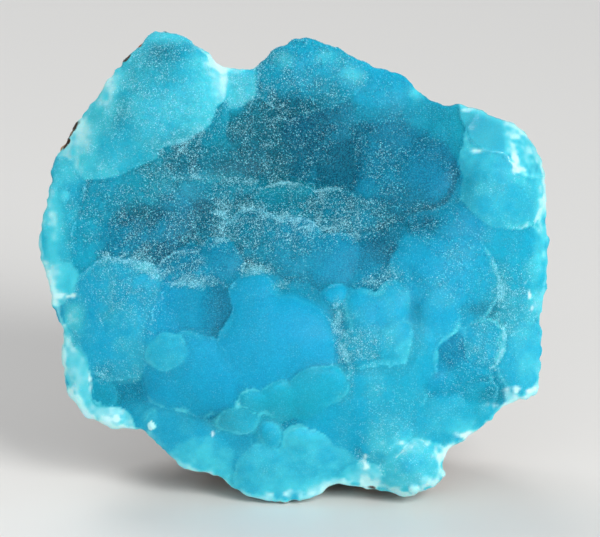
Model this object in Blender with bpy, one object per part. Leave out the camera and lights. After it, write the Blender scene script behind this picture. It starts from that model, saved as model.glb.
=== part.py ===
"""A hand specimen of hemimorphite: a blue crust of rounded lobes, grown on a rough backing of brown rock.

The face of the specimen is described on its own plane, in millimetres: across (left to right), up (from its
lowest point) and out (towards the viewer). The face leans back, and the rock behind it ends in a flat foot.
"""

import math

import bmesh
import bpy
import numpy as np
from mathutils import Matrix, Vector, noise

MM = 0.001
LEAN = math.radians(15)
# The crust and the rock are kept this far apart
GAP = 0.4

# The middle of the face, from which every point of its outline can be seen, and how finely it is followed
MIDDLE = Vector((0.0, 39.0))
DIRECTIONS = 84
CURVE_STEPS = 6

# The outline, clockwise from the left peak: across, up, and how far the rock's edge stays inside the crust's
OUTLINE = [
    (-23.3, 78.3, -0.3),
    (-19.2, 77.7, 1.5),
    (-14.2, 73.5, 2.5),
    (-11.5, 72.2, 2.5),
    (-6.5, 73.0, 2.5),
    (-2.7, 75.8, 2.0),
    (0.7, 77.7, 2.0),
    (8.3, 75.2, 2.0),
    (12.8, 72.7, 2.0),
    (17.5, 71.3, 2.0),
    (21.2, 68.3, 2.0),
    (25.2, 66.2, 2.5),
    (28.3, 66.2, 3.5),
    (35.0, 63.2, 4.0),
    (39.5, 59.7, 4.0),
    (41.3, 54.7, 4.0),
    (41.7, 48.8, 3.5),
    (42.2, 42.5, 3.0),
    (41.3, 33.8, 3.0),
    (41.3, 26.0, 3.0),
    (40.3, 20.5, 3.0),
    (37.5, 18.0, 3.0),
    (35.0, 17.2, 3.0),
    (30.8, 13.5, 3.5),
    (25.6, 9.6, 2.5),
    (24.7, 4.7, 1.5),
    (22.0, 2.4, 0.8),
    (17.5, 1.3, 0.6),
    (11.7, 2.8, 0.3),
    (6.7, 3.0, 0.5),
    (1.7, 0.2, 0.6),
    (-4.2, 1.0, 0.8),
    (-10.0, 3.5, 1.2),
    (-16.7, 6.8, 3.5),
    (-24.2, 12.5, 5.0),
    (-30.5, 13.0, 4.5),
    (-34.0, 15.8, 4.0),
    (-38.0, 21.5, 3.5),
    (-38.8, 29.7, 2.5),
    (-40.8, 37.2, 2.5),
    (-42.5, 43.8, 2.0),
    (-41.2, 52.2, 1.0),
    (-40.3, 56.3, -0.5),
    (-36.7, 62.2, -0.7),
    (-34.2, 65.5, -0.6),
    (-28.3, 73.8, -0.4),
]

# The broad form of the face: its height at the rim, the dome above that, and wide swells and hollows
RIM_OUT = 1.5
DOME_OUT = 5.5
# Each form is given as: across, up, out, half width, half height
BROAD_FORMS = {
    "belly": (-3.0, 25.0, 5.0, 29.0, 14.0),
    "hollow": (-5.0, 57.0, -6.5, 17.0, 10.0),
    "left hump": (-24.0, 65.5, 5.5, 11.0, 10.0),
    "right knob": (34.7, 54.7, 4.5, 9.0, 10.0),
    "right swell": (26.0, 38.0, 3.0, 9.0, 10.0),
    "low knob": (19.7, 5.7, 2.5, 6.0, 6.0),
}

# The lobes of the crust: across, up, half width, half height, rise above the broad form, and how many
# degrees the lobe leans to the right
LOBES = [
    # left hump, with its pale outer edge
    (-20.5, 71.3, 6.0, 6.0, 1.0, 0),
    (-21.7, 65.5, 6.7, 6.3, 2.5, 0),
    (-28.3, 61.3, 6.3, 5.7, 1.5, 0),
    (-33.0, 57.5, 3.8, 3.8, 1.0, 0),
    (-33.0, 64.7, 2.5, 5.7, 0.5, 35),
    # saddle between the two peaks, and the right peak
    (-9.0, 69.7, 2.4, 3.7, 0.5, 0),
    (-14.2, 63.5, 2.6, 4.7, 0.5, 18),
    (2.5, 71.3, 8.3, 6.3, 1.5, 0),
    (-6.7, 63.8, 4.0, 4.0, 0.0, 0),
    (3.3, 60.7, 5.0, 3.5, 0.3, 0),
    # upper right
    (17.5, 66.3, 7.5, 5.0, 0.5, 0),
    (17.8, 56.3, 8.7, 8.7, 1.5, 0),
    # left edge, and the small lobes inside it
    (-39.2, 47.3, 3.7, 5.8, 1.0, 0),
    (-39.2, 36.7, 2.6, 3.3, 0.5, 0),
    (-24.7, 53.0, 4.7, 3.7, 1.5, 0),
    (-20.0, 48.5, 3.3, 3.3, 1.0, 0),
    (-21.7, 46.0, 3.0, 3.0, 1.5, 0),
    (-28.5, 43.0, 4.2, 4.2, 1.5, 0),
    (-32.5, 50.0, 4.2, 4.5, 0.3, 0),
    # ledges that step down out of the hollow
    (-17.2, 52.7, 2.7, 2.4, 1.0, 0),
    (-10.5, 51.8, 2.8, 2.8, 1.2, 0),
    (-1.0, 50.8, 3.7, 2.7, 1.2, 0),
    (6.7, 49.7, 3.7, 3.0, 1.2, 0),
    (-1.7, 43.8, 6.7, 5.0, 1.5, 0),
    (6.3, 40.8, 4.5, 5.0, 1.8, 0),
    (-12.3, 40.8, 3.7, 3.7, 1.5, 0),
    (-19.5, 38.5, 4.5, 2.6, 0.5, 0),
    # large lower left lobe and its neighbours
    (-29.2, 33.3, 8.0, 8.0, 2.0, 0),
    (-16.7, 33.0, 5.5, 5.0, 0.5, 0),
    (-20.7, 24.8, 3.8, 3.8, 2.8, 0),
    (-17.5, 21.3, 7.5, 7.0, 1.0, 0),
    (-31.0, 22.5, 5.0, 5.0, 0.5, 0),
    # large lobe in the middle
    (-3.3, 29.7, 9.5, 9.5, 3.0, 0),
    (-6.5, 36.0, 3.2, 3.2, 2.5, 0),
    # cluster right of the middle
    (11.2, 30.8, 3.3, 4.7, 2.5, 0),
    (15.5, 31.8, 3.7, 5.5, 3.0, 0),
    (16.8, 26.0, 4.0, 4.3, 2.5, 0),
    (12.2, 23.7, 4.3, 3.3, 2.0, 0),
    # long level lobe under it
    (-5.5, 17.7, 4.2, 2.8, 2.0, 0),
    (-0.5, 17.7, 4.7, 4.0, 2.5, 0),
    (5.5, 18.3, 5.0, 4.5, 3.0, 0),
    # lower edge
    (-9.8, 14.0, 3.3, 2.6, 2.0, 0),
    (-4.3, 11.8, 2.5, 2.5, 2.0, 0),
    (1.5, 10.0, 4.7, 3.0, 2.0, 0),
    (-15.8, 8.5, 4.5, 3.5, 0.8, 0),
    (-19.2, 12.2, 5.0, 4.0, 0.5, 0),
    (-1.8, 4.0, 9.0, 3.7, 0.5, 0),
    (6.5, 6.5, 6.5, 4.2, 1.0, 0),
    # right side
    (26.3, 38.0, 7.2, 6.6, 3.0, 0),
    (25.7, 31.2, 3.3, 4.0, 2.0, 0),
    (15.0, 17.2, 6.7, 7.0, 2.0, 0),
    (32.0, 26.7, 3.8, 4.2, 2.2, 0),
    (37.6, 25.3, 4.0, 6.0, 1.2, 0),
    (27.5, 21.3, 4.2, 2.7, 1.2, 0),
    (25.0, 15.3, 5.0, 3.2, 1.2, 0),
    (37.5, 36.0, 3.2, 6.7, 0.8, 0),
    (33.0, 19.0, 3.5, 2.8, 0.8, 0),
    (34.0, 42.5, 6.5, 5.5, 1.0, 0),
    (22.5, 44.5, 5.5, 4.5, 0.8, 0),
    # knobs at the upper and lower right
    (34.7, 52.2, 6.7, 6.3, 2.6, 0),
    (33.5, 58.8, 6.5, 6.3, 2.2, 0),
    (19.7, 5.9, 5.5, 4.4, 2.5, 0),
]
# A lobe's depth is this share of its mean half width, and the bed between lobes lies this far below them
LOBE_DEPTH = 0.75
BED_BELOW = 2.5

# The crust is about this thick under the broad form, and its broken edge slopes in towards its back
CRUST_THICKNESS = 6.5
EDGE_SHARE = 0.97
ROCK_SWELL = 0.6
CRUST_ABOVE_GROUND = 0.3
# The crust and the rock meet on these rings, as shares of the way from the middle to the outline
PARTING_SHARES = (0.12, 0.3, 0.5, 0.65, 0.77, 0.86)
BED_SHARES = (0.12, 0.25, 0.4, 0.55, 0.7, 0.83, 0.93, 1.0)

# The rock's back, thick at the foot and thinner at the top, and how rough it is
BACK_AT_FOOT = 28.0
BACK_AT_TOP = 19.0
BACK_RADIUS = 37.0
FOOT_DROP = 8.0
ROCK_ROUGHNESS = 1.8
ROCK_LUMP = 12.0
PIT_DEPTH = 1.6
PIT_SPACING = 9.0
# Where the lumps' pattern is read for each of the three directions
LUMP_SHIFTS = (Vector((0.3, 0.7, 0.1)), Vector((31.4, 5.2, 8.6)), Vector((9.7, 47.1, 22.8)))
# The flat faces where the rock broke: the way each one looks (right, back, up), and how far it is from the
# rock's core
ROCK_CORE = (0.0, 36.0, -12.0)
BROKEN_FACES = (
    ((0.12, 1.0, 0.02), 15.5),
    ((-0.25, 0.85, 0.55), 35.0),
    ((0.45, 0.85, 0.35), 30.0),
    ((0.75, 0.65, -0.15), 31.0),
    ((-0.7, 0.7, -0.05), 31.5),
    ((-0.3, 0.8, -0.5), 26.0),
    ((0.75, 0.25, 0.6), 44.0),
    ((-0.85, 0.3, -0.5), 37.0),
    ((-0.75, 0.3, 0.6), 45.0),
)
# The rock's sides and back, ring by ring: share of the way to the back, and share of the outline
ROCK_RINGS = (
    (0.12, 1.0),
    (0.26, 1.0),
    (0.4, 0.995),
    (0.54, 0.985),
    (0.68, 0.97),
    (0.8, 0.945),
    (0.9, 0.9),
    (0.97, 0.82),
    (1.01, 0.7),
    (1.03, 0.55),
    (1.05, 0.38),
    (1.06, 0.2),
)

# How finely the lobes are merged into one skin, and the share of its faces that is kept
VOXEL = 1.1
KEPT_FACES = 0.145

# Well in front of the face, and a block wider than the specimen
FAR_OUT = 45.0
BLOCK_SIDE = 300.0


def in_space(across, up, out):
    """A point of the face as a place in space, in metres: the face leans back, and out is towards -Y."""
    back = up * math.sin(LEAN) - out * math.cos(LEAN)
    height = up * math.cos(LEAN) + out * math.sin(LEAN)
    return Vector((across, back, height)) * MM


def smooth_closed_curve(points, steps):
    """A closed curve through all the points, with so many steps from each point to the next."""
    curve = []
    for i in range(len(points)):
        before, start, end, after = (
            np.array(points[(i + k) % len(points)]) for k in (-1, 0, 1, 2)
        )
        for t in np.arange(steps) / steps:
            curve.append(
                start
                + 0.5 * t * (end - before)
                + t**2 * (before - 2.5 * start + 2 * end - 0.5 * after)
                + t**3 * 0.5 * (3 * (start - end) + after - before)
            )
    return np.array(curve)


def outline_by_angle():
    """The angle, radius and rock inset of the outline's points, seen from the middle of the face."""
    curve = smooth_closed_curve(OUTLINE, CURVE_STEPS)
    angle = np.arctan2(curve[:, 1] - MIDDLE.y, curve[:, 0] - MIDDLE.x)
    radius = np.hypot(curve[:, 1] - MIDDLE.y, curve[:, 0] - MIDDLE.x)
    order = np.argsort(angle)
    return angle[order], radius[order], curve[order, 2]


ANGLES, RADII, INSETS = outline_by_angle()


def rim_radius(angle):
    return float(np.interp(angle, ANGLES, RADII, period=2 * math.pi))


def rock_inset(angle):
    return float(np.interp(angle, ANGLES, INSETS, period=2 * math.pi))


def on_face(angle, share, inset=0.0):
    """The point (across, up) at a share of the way from the middle to the outline, less an inset."""
    reach = share * (rim_radius(angle) - inset)
    return MIDDLE.x + reach * math.cos(angle), MIDDLE.y + reach * math.sin(angle)


def broad_form(across, up, swell=1.0):
    """How far out the face lies there, before its lobes, with its swells and hollows at that strength."""
    offset = Vector((across, up)) - MIDDLE
    share = min(offset.length / rim_radius(math.atan2(offset.y, offset.x)), 1.0)
    out = RIM_OUT + DOME_OUT * (1 - share**3)
    for x, y, height, half_width, half_height in BROAD_FORMS.values():
        distance = ((across - x) / half_width) ** 2 + ((up - y) / half_height) ** 2
        out += swell * height * math.exp(-distance)
    return out


def crust_back(across, up):
    """Where the crust ends and the rock begins: the crust is thicker on the swells than in the hollow."""
    return broad_form(across, up, ROCK_SWELL) - CRUST_THICKNESS


def directions():
    """The directions from the middle of the face, in radians, all the way round."""
    return [2 * math.pi * i / DIRECTIONS - math.pi for i in range(DIRECTIONS)]


def add_loft(mesh, front_tip, rings, back_tip):
    """Adds a closed skin over rings of points, listed front to back, with a fan of faces at each end."""
    loops = [[mesh.verts.new(point) for point in ring] for ring in rings]
    tips = [mesh.verts.new(front_tip), mesh.verts.new(back_tip)]
    count = len(rings[0])
    for i in range(count):
        j = (i + 1) % count
        mesh.faces.new((tips[0], loops[0][i], loops[0][j]))
        mesh.faces.new((tips[1], loops[-1][j], loops[-1][i]))
        for near, far in zip(loops, loops[1:]):
            mesh.faces.new((near[j], near[i], far[i]))
            mesh.faces.new((near[j], far[i], far[j]))


def material(name, colour, roughness):
    made = bpy.data.materials.new(name)
    made.use_nodes = True
    shader = made.node_tree.nodes["Principled BSDF"]
    shader.inputs["Base Color"].default_value = (*colour, 1.0)
    shader.inputs["Roughness"].default_value = roughness
    shader.inputs["Metallic"].default_value = 0.0
    return made


def new_object(name, mesh, parent):
    bmesh.ops.recalc_face_normals(mesh, faces=mesh.faces)
    data = bpy.data.meshes.new(name)
    mesh.to_mesh(data)
    mesh.free()
    made = bpy.data.objects.new(name, data)
    bpy.context.scene.collection.objects.link(made)
    made.parent = parent
    return made


def new_cutter(name, mesh, parent):
    made = new_object(name, mesh, parent)
    made.hide_render = True
    made.display_type = "WIRE"
    return made


def cut(target, cutter, operation):
    modifier = target.modifiers.new(cutter.name, "BOOLEAN")
    modifier.operation = operation
    modifier.solver = "EXACT"
    modifier.object = cutter


def ground_cutter(height, parent):
    """A block that takes off all that lies below a height, in millimetres."""
    mesh = bmesh.new()
    place = Matrix.Translation(Vector((0, 0, height - BLOCK_SIDE / 2)) * MM)
    bmesh.ops.create_cube(mesh, size=BLOCK_SIDE * MM, matrix=place)
    return new_cutter(f"ground_{height:g}", mesh, parent)


def bed_of_crust(mesh):
    """The bed under the lobes: a thick plate that follows the broad form."""
    rings = []
    for share in BED_SHARES:
        spots = [on_face(angle, share) for angle in directions()]
        rings.append([in_space(x, y, broad_form(x, y) - BED_BELOW) for x, y in spots])
    deep = 2 * CRUST_THICKNESS
    rings.append([in_space(x, y, broad_form(x, y) - deep) for x, y in spots])
    tips = [in_space(*MIDDLE, broad_form(*MIDDLE) - below) for below in (BED_BELOW, deep)]
    add_loft(mesh, tips[0], rings, tips[1])


def lobe(mesh, across, up, half_width, half_height, rise, lean):
    """One rounded lobe, its highest point that rise above the broad form."""
    half_depth = LOBE_DEPTH * math.sqrt(half_width * half_height)
    out = broad_form(across, up) + rise - half_depth
    size = Vector((half_width, half_depth, half_height)) * MM
    turn = Matrix.Rotation(-LEAN, 4, "X") @ Matrix.Rotation(math.radians(lean), 4, "Y")
    place = Matrix.Translation(in_space(across, up, out)) @ turn @ Matrix.Diagonal((*size, 1.0))
    bmesh.ops.create_icosphere(mesh, subdivisions=3, radius=1.0, matrix=place)


def crust_envelope(parent):
    """What the crust stays inside: its outline from the front, its sloping edge, and the rock behind it."""
    edge = [on_face(angle, 1.0) for angle in directions()]
    rings = [[in_space(x, y, out) for x, y in edge] for out in (FAR_OUT, 0.0)]
    for share in (EDGE_SHARE, *reversed(PARTING_SHARES)):
        spots = [on_face(angle, share) for angle in directions()]
        rings.append([in_space(x, y, crust_back(x, y)) for x, y in spots])
    mesh = bmesh.new()
    add_loft(mesh, in_space(*MIDDLE, FAR_OUT), rings, in_space(*MIDDLE, crust_back(*MIDDLE)))
    return new_cutter("crust_envelope", mesh, parent)


def make_crust(parent):
    mesh = bmesh.new()
    bed_of_crust(mesh)
    for values in LOBES:
        lobe(mesh, *values)
    crust = new_object("hemimorphite_crust", mesh, parent)
    remesh = crust.modifiers.new("one skin", "REMESH")
    remesh.mode = "VOXEL"
    remesh.voxel_size = VOXEL * MM
    decimate = crust.modifiers.new("fewer faces", "DECIMATE")
    decimate.ratio = KEPT_FACES
    cut(crust, crust_envelope(parent), "INTERSECT")
    cut(crust, ground_cutter(CRUST_ABOVE_GROUND, parent), "DIFFERENCE")
    crust.data.materials.append(material("blue hemimorphite", (0.04, 0.42, 0.62), 0.4))
    return crust


def rock_back(up):
    """How far out the rock's back lies at that height: it is below zero, behind the face."""
    share = up / max(point[1] for point in OUTLINE)
    return -(BACK_AT_FOOT + (BACK_AT_TOP - BACK_AT_FOOT) * share)


def broken(point):
    """A point of the rock, brought back to each broken face that it lies beyond."""
    core = in_space(*ROCK_CORE)
    for direction, distance in BROKEN_FACES:
        normal = Vector(direction).normalized()
        beyond = (point - core).dot(normal) - distance * MM
        point = point - normal * max(beyond, 0.0)
    return point


def roughened(point):
    """A point of the rock's broken sides or back, moved by the rock's lumps and by the pits between them."""
    inwards = (in_space(*ROCK_CORE) - point).normalized()
    place = point / (ROCK_LUMP * MM)
    moved = Vector([noise.noise(place + shift) for shift in LUMP_SHIFTS]) * ROCK_ROUGHNESS
    nearest = noise.voronoi(point / (PIT_SPACING * MM))[0][0]
    return point + (moved + inwards * PIT_DEPTH * nearest) * MM


def rock_point(angle, depth, share):
    """A point of the rock's sides or back. It gets rounder towards its back and reaches down to its foot."""
    outer = rim_radius(angle) - rock_inset(angle)
    reach = share * (BACK_RADIUS + (outer - BACK_RADIUS) * share**3)
    across = MIDDLE.x + reach * math.cos(angle)
    up = MIDDLE.y + reach * math.sin(angle)
    start = crust_back(across, up) - 2 * GAP
    out = start + depth * (rock_back(up) - start)
    lowered = up - FOOT_DROP * depth * max(-math.sin(angle), 0.0) ** 2
    return roughened(broken(in_space(across, lowered, out)))


def make_matrix(parent):
    """The rock: its front fits the back of the crust, and its sides and back are broken."""
    mesh = bmesh.new()
    rings = []
    for share in PARTING_SHARES:
        spots = [on_face(angle, share) for angle in directions()]
        rings.append([in_space(x, y, crust_back(x, y) - GAP) for x, y in spots])
    spots = [on_face(angle, 1.0, rock_inset(angle)) for angle in directions()]
    rings.append([in_space(x, y, crust_back(x, y) - 2 * GAP) for x, y in spots])
    for depth, share in ROCK_RINGS:
        rings.append([rock_point(angle, depth, share) for angle in directions()])
    front_tip = in_space(*MIDDLE, crust_back(*MIDDLE) - GAP)
    back_tip = rock_point(0.0, ROCK_RINGS[-1][0], 0.0)
    add_loft(mesh, front_tip, rings, back_tip)
    rock = new_object("brown_matrix", mesh, parent)
    cut(rock, ground_cutter(0.0, parent), "DIFFERENCE")
    rock.data.materials.append(material("brown limonite", (0.11, 0.065, 0.035), 0.9))
    return rock


def stand_on_origin(parent, parts):
    """Moves all of it so that the origin is under the middle of the whole, where it stands."""
    bpy.context.view_layer.update()
    graph = bpy.context.evaluated_depsgraph_get()
    corners = []
    for part in parts:
        shown = part.evaluated_get(graph)
        corners += [shown.matrix_world @ vertex.co for vertex in shown.data.vertices]
    corners = np.array(corners)
    low, high = corners.min(axis=0), corners.max(axis=0)
    parent.location = (-(low[0] + high[0]) / 2, -(low[1] + high[1]) / 2, 0.0)


for leftover in list(bpy.data.objects):
    bpy.data.objects.remove(leftover)
specimen = bpy.data.objects.new("specimen", None)
bpy.context.scene.collection.objects.link(specimen)
stand_on_origin(specimen, [make_crust(specimen), make_matrix(specimen)])
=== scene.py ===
"""The looks of a hand specimen of hemimorphite: a blue crust of rounded lobes on brown rock, on a pale table.

The face of the specimen is described on its own plane, in millimetres: across (left to right), up (from its
lowest point) and out (towards the viewer). The face leans back by LEAN, as in the solids it is built around.
"""

import functools
import itertools
import math

import bpy
import numpy as np
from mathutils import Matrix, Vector


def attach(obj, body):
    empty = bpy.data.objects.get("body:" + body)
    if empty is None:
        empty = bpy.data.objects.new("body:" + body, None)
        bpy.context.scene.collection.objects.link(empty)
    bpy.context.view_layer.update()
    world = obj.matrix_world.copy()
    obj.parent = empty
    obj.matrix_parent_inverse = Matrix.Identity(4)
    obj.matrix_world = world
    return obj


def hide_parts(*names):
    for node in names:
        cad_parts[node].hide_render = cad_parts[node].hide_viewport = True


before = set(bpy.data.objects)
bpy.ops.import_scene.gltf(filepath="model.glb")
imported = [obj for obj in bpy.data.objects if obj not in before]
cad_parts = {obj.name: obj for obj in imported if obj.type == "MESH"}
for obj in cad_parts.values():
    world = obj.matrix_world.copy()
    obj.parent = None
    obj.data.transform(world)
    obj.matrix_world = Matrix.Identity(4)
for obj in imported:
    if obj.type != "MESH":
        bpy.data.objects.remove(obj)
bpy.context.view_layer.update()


# The blue crust. Hemimorphite grew on the rock as radiating fibres, which end in rounded lobes that merge
# into one skin, a few millimetres thick. Where the specimen was broken free, its edge is thin and pale.

MM = 0.001
LEAN = math.radians(15)
# How far the zero of the face's plane lies to the right of the middle of the solids' box, and how far behind
# it. Below zero is in front
ACROSS_SHIFT = 0.2276
BACK_SHIFT = -14.6554


def in_space(places):
    """Places on the face (across, up, out), in millimetres, as places in space, in metres."""
    across, up, out = np.asarray(places, float).T
    back = up * math.sin(LEAN) - out * math.cos(LEAN) + BACK_SHIFT
    height = up * math.cos(LEAN) + out * math.sin(LEAN)
    return np.stack([across + ACROSS_SHIFT, back, height], axis=-1) * MM


# The middle of the face, and its outline, clockwise from the left peak: across, up
MIDDLE = (0.0, 39.0)
OUTLINE = np.array([
    (-23.3, 78.3), (-19.2, 77.7), (-14.3, 74.4), (-11.5, 72.3), (-6.5, 73.0), (-2.7, 75.8), (0.7, 77.7),
    (8.3, 75.2), (12.8, 72.7), (17.5, 71.3), (21.2, 68.3), (25.2, 66.2), (28.3, 66.2), (35.2, 63.4),
    (39.5, 60.6), (41.4, 54.9), (41.7, 48.8), (42.2, 42.5), (41.3, 33.8), (41.3, 26.0), (40.6, 20.7),
    (39.2, 17.8), (35.6, 16.9), (32.1, 13.4), (28.4, 10.7), (26.1, 9.4), (25.1, 7.0), (25.1, 4.8),
    (22.6, 2.3), (17.5, 1.3), (11.7, 2.6), (6.7, 3.0), (1.7, 0.2), (-4.2, 0.6), (-8.8, 1.6), (-13.3, 4.2),
    (-17.6, 5.6), (-21.4, 8.0), (-25.8, 12.2), (-30.5, 12.4), (-34.6, 14.6), (-37.8, 18.9), (-38.7, 23.5),
    (-38.8, 29.7), (-41.4, 36.8), (-42.5, 43.8), (-41.2, 52.2), (-40.3, 56.3), (-36.7, 62.2), (-34.2, 65.5),
    (-28.3, 73.8),
])
# The steps that the curve through the outline takes from each point to the next
CURVE_STEPS = 6


def smooth_closed_curve(points, steps):
    """A closed curve through all the points, with so many steps from each point to the next."""
    before, end, after = (np.roll(points, -shift, axis=0) for shift in (-1, 1, 2))
    curve = []
    for t in np.arange(steps) / steps:
        bend = t**2 * (before - 2.5 * points + 2 * end - 0.5 * after)
        swing = t**3 * 0.5 * (3 * (points - end) + after - before)
        curve.append(points + 0.5 * t * (end - before) + bend + swing)
    return np.stack(curve, axis=1).reshape(-1, points.shape[1])


CURVE = smooth_closed_curve(OUTLINE, CURVE_STEPS)
CURVE_ANGLE = np.arctan2(CURVE[:, 1] - MIDDLE[1], CURVE[:, 0] - MIDDLE[0])
CURVE_RADIUS = np.hypot(CURVE[:, 1] - MIDDLE[1], CURVE[:, 0] - MIDDLE[0])


def rim_radius(across, up):
    """The outline's distance from the middle of the face, in the direction of each place."""
    angle = np.arctan2(up - MIDDLE[1], across - MIDDLE[0])
    order = np.argsort(CURVE_ANGLE)
    return np.interp(angle, CURVE_ANGLE[order], CURVE_RADIUS[order], period=2 * math.pi)


def distance_past_outline(across, up):
    """How far each place lies outside the outline. It is below zero inside."""
    place = np.stack([across.ravel(), up.ravel()], axis=-1)
    nearest = np.full(len(place), np.inf)
    for start, step in zip(CURVE, np.roll(CURVE, -1, axis=0) - CURVE):
        share = np.clip((place - start) @ step / (step @ step), 0, 1)
        gap = place - start - share[:, None] * step
        nearest = np.minimum(nearest, np.hypot(gap[:, 0], gap[:, 1]))
    past = np.hypot(place[:, 0] - MIDDLE[0], place[:, 1] - MIDDLE[1]) > rim_radius(*place.T)
    return np.where(past, nearest, -nearest).reshape(across.shape)


# Large primes, which turn the place of a cell of space into a row of a table of random numbers
CELL_PRIMES = (73856093, 19349663, 83492791)
TABLE_ROWS = 4096


def table_row(cells):
    """The row of a table of random numbers that belongs to each cell of space."""
    x, y, z = (cells * CELL_PRIMES).T
    return (x ^ y ^ z) % TABLE_ROWS


def soft_noise(places, spacing, seed):
    """Smooth noise at each place, mostly between -0.7 and 0.7, with its lumps that far apart."""
    table = np.random.default_rng(seed).uniform(-1, 1, TABLE_ROWS)
    cells, share = np.divmod(places / spacing, 1.0)
    cells = cells.astype(np.int64)
    share = share**3 * (share * (6 * share - 15) + 10)
    total = np.zeros(len(places))
    for corner in itertools.product((0, 1), repeat=3):
        weight = np.prod(np.where(corner, share, 1 - share), axis=1)
        total += weight * table[table_row(cells + corner)]
    return total


def layered_noise(places, layers, seed):
    """Noise at each place, added up from layers: how far apart the lumps of each are, and how deep."""
    return sum(depth * soft_noise(places, spacing, seed + k) for k, (spacing, depth) in enumerate(layers))


def face_noise(across, up, layers, seed):
    """Noise over the face, added up from layers."""
    flat = np.stack([across.ravel(), up.ravel(), np.zeros(across.size)], axis=-1)
    return layered_noise(flat, layers, seed).reshape(across.shape)


def smooth_step(value, low, high):
    """How far a value is on its way from low to high, from 0 to 1, setting in and ending softly."""
    share = np.clip((value - low) / (high - low), 0, 1)
    return share**2 * (3 - 2 * share)


def blended_max(a, b, width):
    """The higher of two values, rounded off where they are within that width of each other."""
    share = np.clip(0.5 + 0.5 * (b - a) / width, 0, 1)
    return a + (b - a) * share + width * share * (1 - share)


# The broad form of the face: its height at the rim, the dome above that, and wide swells and hollows, each
# given as: across, up, out, half width, half height
RIM_OUT = 1.5
DOME_OUT = 5.5
BROAD_FORMS = {
    "belly": (-3.0, 25.0, 5.0, 29.0, 14.0),
    "hollow": (-5.0, 57.0, -6.5, 17.0, 10.0),
    "left hump": (-24.0, 65.5, 5.5, 11.0, 10.0),
    "right knob": (34.7, 54.7, 4.5, 9.0, 10.0),
    "right swell": (26.0, 38.0, 3.0, 9.0, 10.0),
    "low knob": (19.7, 5.7, 2.5, 6.0, 6.0),
}


def patches(places, across, up):
    """How strong a kind of patch is at each place: the patches add up, and fade out round their middles."""
    total = np.zeros_like(across)
    for x, y, amount, half_width, half_height in places:
        total += amount * np.exp(-(((across - x) / half_width) ** 2) - ((up - y) / half_height) ** 2)
    return total


def broad_form(across, up, swell=1.0):
    """How far out the face lies there, before its lobes, with its swells and hollows at that strength."""
    share = np.hypot(across - MIDDLE[0], up - MIDDLE[1]) / rim_radius(across, up)
    dome = RIM_OUT + DOME_OUT * (1 - np.minimum(share, 1.0) ** 3)
    return dome + swell * patches(BROAD_FORMS.values(), across, up)


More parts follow.
